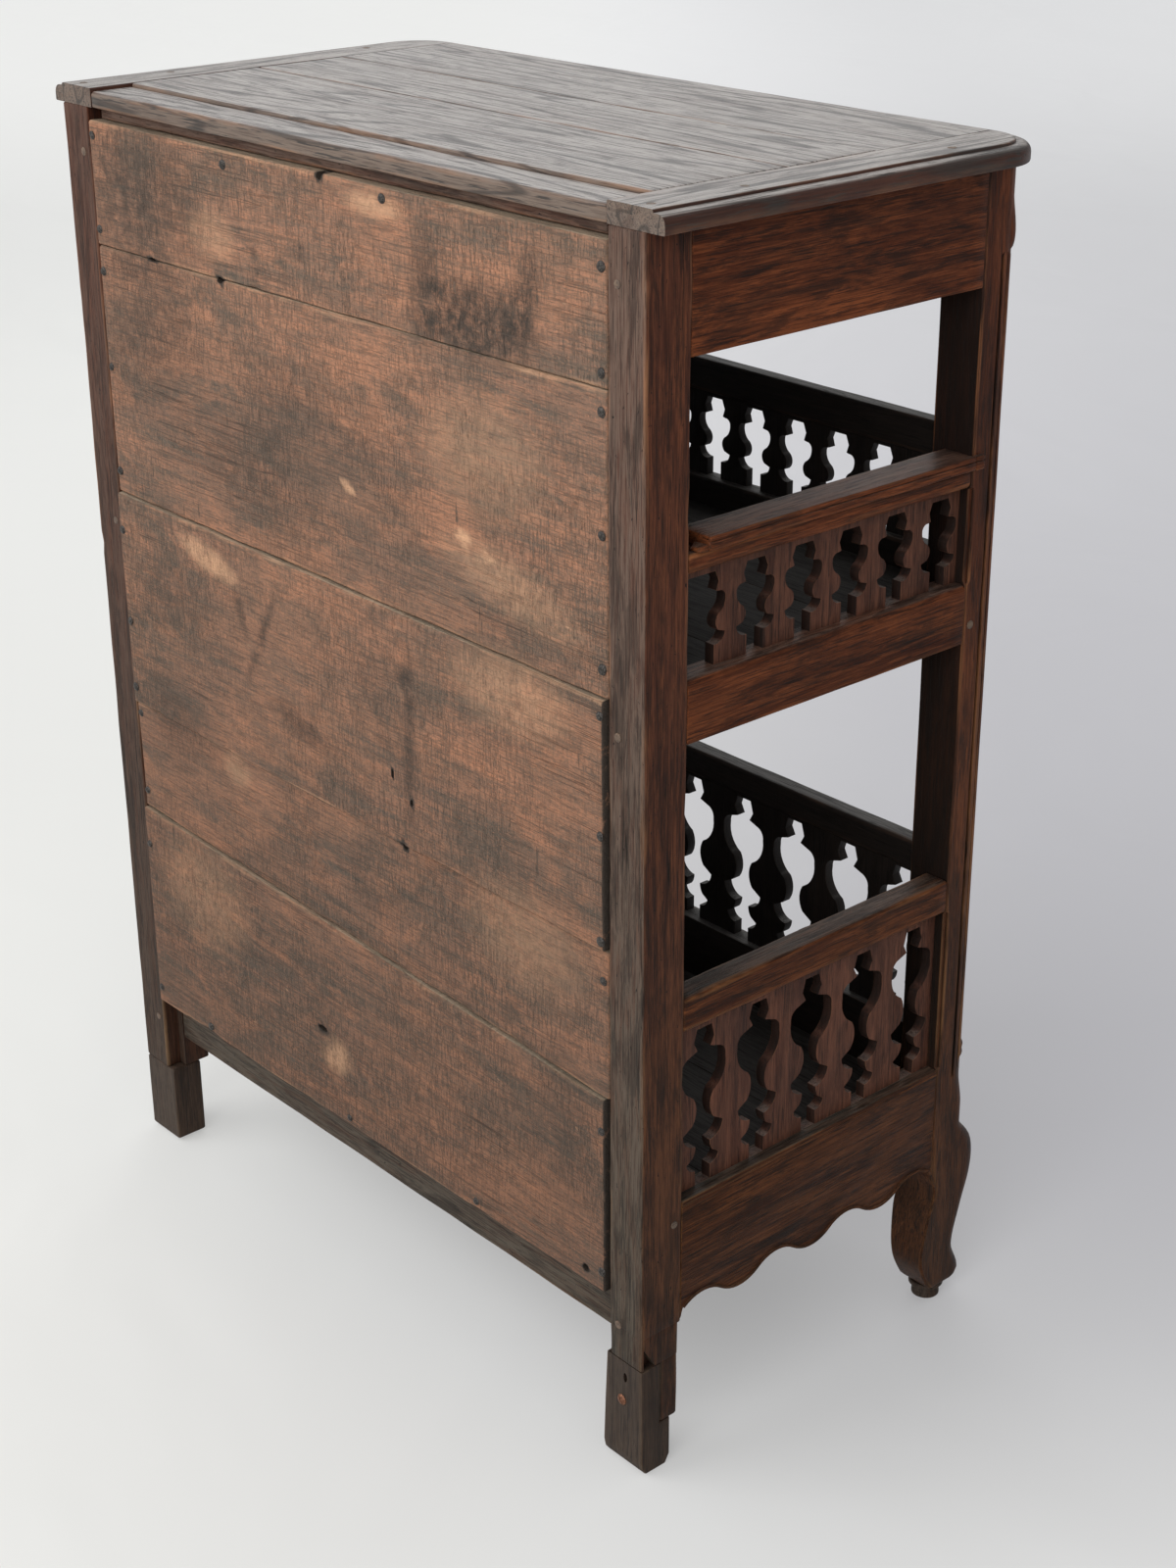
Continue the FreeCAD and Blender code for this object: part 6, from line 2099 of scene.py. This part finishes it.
@dataclass
class Fastenings:
    """Nails, pegs, the foot's screw and glide; profiles give radius and level in millimetres."""

    peg_radius: float = 4 * MM
    joint_peg_proud: float = 0.7 * MM
    top_peg_proud: float = 0.2 * MM
    nail_sunk: float = 2 * MM
    nail_profile: tuple[Flat, ...] = (
        (0.4, -30), (1.3, -20), (1.4, -0.6), (3.7, -0.4), (4.2, 0.3), (3.6, 1.1), (2.2, 1.7), (0.8, 1.9))
    screw_head: tuple[Flat, ...] = (
        (2.0, -0.8), (4.8, -0.5), (5.2, 0.3), (4.4, 1.3), (2.6, 1.9), (0.8, 2.1))
    screw_turn: float = 35.0

    def spots(self, node: str) -> list[tuple[Vector, Vector]]:
        """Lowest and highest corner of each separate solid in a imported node.

        Args:
            node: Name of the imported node.

        Returns:
            The corners, sorted by place.
        """
        shell = bmesh.new()
        shell.from_mesh(frame["nodes"][node].data)
        bmesh.ops.remove_doubles(shell, verts=shell.verts, dist=WELD)
        left = set(shell.verts)
        boxes = []
        while left:
            todo, island = [left.pop()], []
            while todo:
                vert = todo.pop()
                island.append(vert.co.copy())
                for edge in vert.link_edges:
                    other = edge.other_vert(vert)
                    if other in left:
                        left.discard(other)
                        todo.append(other)
            boxes.append((Vector(min(p[i] for p in island) for i in range(3)),
                          Vector(max(p[i] for p in island) for i in range(3))))
        shell.free()
        return sorted(boxes, key=lambda box: tuple(box[0]))

    def points(self, name: str, places: Sequence[Vector], ways: Sequence[Vector]) -> Piece:
        """A carrier mesh with one vertex per fastening and the way it faces.

        Args:
            name: Name of the carrier.
            places: The points.
            ways: The way that each faces.

        Returns:
            The carrier.
        """
        mesh = bpy.data.meshes.new(name)
        mesh.from_pydata(places, [], [])
        layer = mesh.attributes.new("facing", "FLOAT_VECTOR", "POINT")
        layer.data.foreach_set("vector", [value for way in ways for value in way])
        return link_piece(name, mesh)

    def drive(self, name: str, places: Sequence[Vector], ways: Sequence[Vector], profile: Sequence[Flat],
              sides: int, **values: object) -> Piece:
        """Sets one turned shape on every place.

        Args:
            name: Name of the piece.
            places: Where each head sits.
            ways: The way that each head faces.
            profile: Radius and level of the shape, with its head up.
            sides: Number of sides of the shape.
            **values: Further inputs of the tree.

        Returns:
            The new object.
        """
        head = lathe("stud_head", (0.0, 0.0), profile, sides, 7)
        driven = stud_tree().run(self.points("stud_points", places, ways), name, Head=head, **values)
        bpy.data.objects.remove(head)
        return driven

    def build(self) -> None:
        """Builds and dresses all fastenings."""
        self.nails()
        self.pegs("joint_pegs", self.joint_peg_proud)
        self.pegs("top_pegs", self.top_peg_proud)
        self.screw()
        dress_node("right_rear_foot_glide", GLIDE_IRON.material())

    def screw(self) -> None:
        """Round-headed slotted screw that holds the left foot to its post."""
        low, high = (Vector(corner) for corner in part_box("foot_screw"))
        middle = (low + high) / 2
        length = high.y - low.y
        profile = [(0.8 * MM, -length), (2.0 * MM, -length * 0.7)]
        profile += [(radius * MM, level * MM) for radius, level in self.screw_head]
        head = lathe("slotted_foot_screw", (0.0, 0.0), profile, 18, 8)
        slot = rectangle((-0.6 * MM, -7 * MM), (0.6 * MM, 7 * MM), SHARP)
        tool = Bar(Axis.Z, 1.0 * MM, 4 * MM, slot, KEEN)
        cut_away(head, build_bars("slot_tool", [tool]))
        spin = Matrix.Rotation(radians(self.screw_turn), 4, "Z")
        turn = Matrix.Rotation(radians(-90), 4, "X") @ spin
        head.data.transform(Matrix.Translation((middle.x, BODY.back, middle.z)) @ turn)
        publish(head, Slot.SCREW, SCREW_BRASS.material(), "foot_screw")

    def nails(self) -> None:
        """Hand-made nails with domed, uneven heads."""
        boxes = self.spots("back_nails")
        places = [Vector(((a.x + b.x) / 2, b.y - self.nail_sunk, (a.z + b.z) / 2)) for a, b in boxes]
        profile = [(radius * MM, level * MM) for radius, level in self.nail_profile]
        iron = NAIL_IRON.material()
        ways = [Vector((0, 1, 0))] * len(places)
        nails = self.drive("forged_back_nails", places, ways, profile, 11, Spread=0.14, Tilt=0.14, Seed=5,
                           Finish=iron)
        publish(nails, Slot.NAIL, iron, "back_nails")

    def pegs(self, node: str, proud: float) -> None:
        """Riven pegs, faceted and a little proud.

        Args:
            node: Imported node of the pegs.
            proud: How far the ends stand out.
        """
        radius = self.peg_radius
        places, ways, length = [], [], 0.0
        for low, high in self.spots(node):
            size = high - low
            axis = max(range(3), key=lambda i: size[i])
            length = size[axis]
            way = Vector((0, 0, 0))
            way[axis] = -1.0 if axis == 0 and low.x < 0 else 1.0
            middle = (low + high) / 2
            places.append(middle + way * (size[axis] / 2))
            ways.append(way)
        profile = [
            (radius * 0.7, -length * 0.5), (radius, -length * 0.3), (radius, -0.3 * MM),
            (radius * 0.93, proud * 0.6), (radius * 0.6, proud), (radius * 0.2, proud * 1.05)]
        oak = PEG_OAK.material(Axis.Y)
        pegs = self.drive("riven_" + node, places, ways, profile, 9, Spread=0.05, Tilt=0.03, Seed=9,
                          Finish=oak)
        publish(pegs, Slot.PEG, oak, node)


# Studio

@dataclass
class Studio:
    """Pale floor, soft lights and the camera of the photograph."""

    eye: Corner = (-1.2794 + BODY.left, 1.1848 + BODY.back, 1.4475)
    yaw: float = 48.607
    pitch: float = 24.216
    roll: float = 0.352
    lens: float = 57.51
    sensor: float = 36.0
    floor_reach: float = 24.0
    floor_left: Colour = (0.73, 0.73, 0.705)
    # Painted shade: the floor's grey to the right of the camera.
    floor_right: Colour = (0.49, 0.485, 0.51)
    floor_far: Colour = (0.74, 0.74, 0.745)
    # Painted light: glow on the floor for camera and glossy rays, everywhere and more on the far floor, less
    # to the right, and a share of the floor's colour given as glow so that its shadows read lighter.
    floor_glow: float = 0.06
    far_glow: float = 0.26
    right_dim: float = 0.45
    shadow_lift: float = 0.5
    key_power: float = 62.0
    fill_power: float = 70.0
    far_power: float = 20.0
    sky_bright: float = 0.85
    sky_dark: float = 0.25
    sky_way: Corner = (0.5, 0.55, 0.67)
    sky_colour: Colour = (0.98, 0.99, 1.0)

    def build(self) -> None:
        """Sets the whole studio."""
        self.camera()
        self.floor()
        self.lights()
        bpy.context.scene.view_settings.view_transform = "Standard"

    def camera(self) -> None:
        """Camera at the photograph's place and angle."""
        yaw, pitch, roll = (radians(v) for v in (self.yaw, self.pitch, self.roll))
        level = cos(pitch)
        forward = Vector((sin(yaw) * level, -cos(yaw) * level, -sin(pitch)))
        right = forward.cross(Vector((0, 0, 1))).normalized()
        down = forward.cross(right)
        across = right * cos(roll) + down * sin(roll)
        below = down * cos(roll) - right * sin(roll)
        turn = Matrix((across, -below, -forward)).transposed().to_4x4()
        turn.translation = Vector(self.eye)
        data = bpy.data.cameras.new("camera")
        data.sensor_fit, data.sensor_height, data.lens = "VERTICAL", self.sensor, self.lens
        camera = link_piece("camera", data)
        camera.matrix_world = turn
        bpy.context.scene.camera = camera

    def floor(self) -> None:
        """A wide pale floor with the soft folds of a cloth, with painted shade greyer to the right of the
        camera and in the folds, and painted glow that lightens its shadows and the far floor.
        """
        mesh = bpy.data.meshes.new("floor")
        signs = ((-1, -1), (1, -1), (1, 1), (-1, 1))
        corners = [(a * self.floor_reach, b * self.floor_reach, 0) for a, b in signs]
        mesh.from_pydata(corners, [], [(0, 1, 2, 3)])
        floor = link_piece("floor", mesh)
        p = Palette("pale_floor")
        place = p.place()
        folds = p.cloud(place, 1.6, 3, 0.5, 0.8)
        yaw = radians(self.yaw)
        across = p.dot(place, (-cos(yaw), -sin(yaw), 0))
        away = p.dot(place, (sin(yaw), -cos(yaw), 0))
        # Painted shade: greyer to the right of the camera except close to it, which also darkens the
        # dresser's shadow there; the folds are painted a little greyer.
        grey = p.mix(p.band(away, 0.3, 9.0), self.floor_right, self.floor_far)
        share = p.times(p.band(across, -0.7, 0.7), p.band(away, -1.1, 0.2))
        colour = p.mix(share, self.floor_left, grey)
        colour = p.mix(p.times(folds, 0.08), colour, grey)
        # Painted light: camera, glossy and transmission rays see part of the floor's colour as glow, which
        # lightens its shadows.
        path = p.add("ShaderNodeLightPath").outputs
        seen = p.math("ADD", path["Is Camera Ray"], path["Is Glossy Ray"])
        seen = p.math("ADD", seen, path["Is Transmission Ray"])
        shadow_lift = p.times(p.band(away, 3.5, 1.0), self.shadow_lift)
        shadow_lift = p.times(shadow_lift, p.less(1.0, p.times(share, 0.5)))
        shadow_lifted = p.mix(seen, colour, p.mix(1.0, colour, p.less(1.0, shadow_lift), "MULTIPLY"))
        mesh.materials.append(p.finish(shadow_lifted, 0.9, folds, 20 * MM, Specular_IOR_Level=0.1))
        # Painted light: a glow that grows on the far floor and fades to the right.
        glow = p.times(p.band(away, 0.5, 8.0), self.far_glow)
        dim = p.less(1.0, p.times(p.band(across, -0.2, 1.6), self.right_dim))
        glow = p.times(glow, dim)
        shader = p.tree.nodes["Principled BSDF"]
        painted_glow = p.mix(1.0, p.mix(1.0, colour, shadow_lift, "MULTIPLY"), p.math("ADD", glow, self.floor_glow), "ADD")
        p.feed(shader.inputs["Emission Color"], painted_glow)
        p.feed(shader.inputs["Emission Strength"], seen)

    def lights(self) -> None:
        """A large soft key from the camera's left, a lamp beyond the top, and a sky darker to the right."""
        self.area("key_light", (1.5, 2.6, 2.7), (0.0, 0.0, 0.55), 2.6, self.key_power)
        self.area("fill_light", (-1.9, 3.4, 2.4), (-0.3, 0.3, 0.2), 2.6, self.fill_power)
        self.area("far_light", (2.6, -2.4, 2.9), (0.0, 0.0, 1.0), 2.4, self.far_power)
        world = bpy.data.worlds.new("graded_sky")
        world.use_nodes = True
        w = Wiring(world.node_tree)
        way = w.add("ShaderNodeTexCoord").outputs["Generated"]
        towards = w.dot(way, Vector(self.sky_way).normalized())
        level = w.out("ShaderNodeMapRange", {
            0: towards, 1: -0.8, 2: 0.8, 3: self.sky_dark, 4: self.sky_bright})
        sky = w.tree.nodes["Background"]
        w.feed(sky.inputs["Color"], (*self.sky_colour, 1.0))
        w.feed(sky.inputs["Strength"], level)
        bpy.context.scene.world = world

    def area(self, name: str, place: Corner, target: Corner, size: float, power: float) -> None:
        """One square area light.

        Args:
            name: Name of the light.
            place: Where it stands.
            target: Where it points.
            size: Side in metres.
            power: Power in watts.
        """
        data = bpy.data.lights.new(name, "AREA")
        data.size, data.energy = size, power
        light = link_piece(name, data)
        light.location = place
        light.rotation_euler = (Vector(target) - Vector(place)).to_track_quat("-Z", "Y").to_euler()


def main() -> None:
    """Builds every sub-assembly in order."""
    logging.basicConfig(level=logging.INFO, format="%(name)s %(message)s")
    noise.seed_set(DRIFT_SEED)
    assemblies = [
        BackBoards(), RearFrame(), SideFrame(Side.LEFT), SideFrame(Side.RIGHT), FrontFrame(),
        FrontPost(Side.LEFT), FrontPost(Side.RIGHT), Shelves(), TopSlab(), Fastenings(), Studio(),
    ]
    for assembly in assemblies:
        log.info("building %s", type(assembly).__name__)
        assembly.build()


if __name__ == "__main__":
    main()
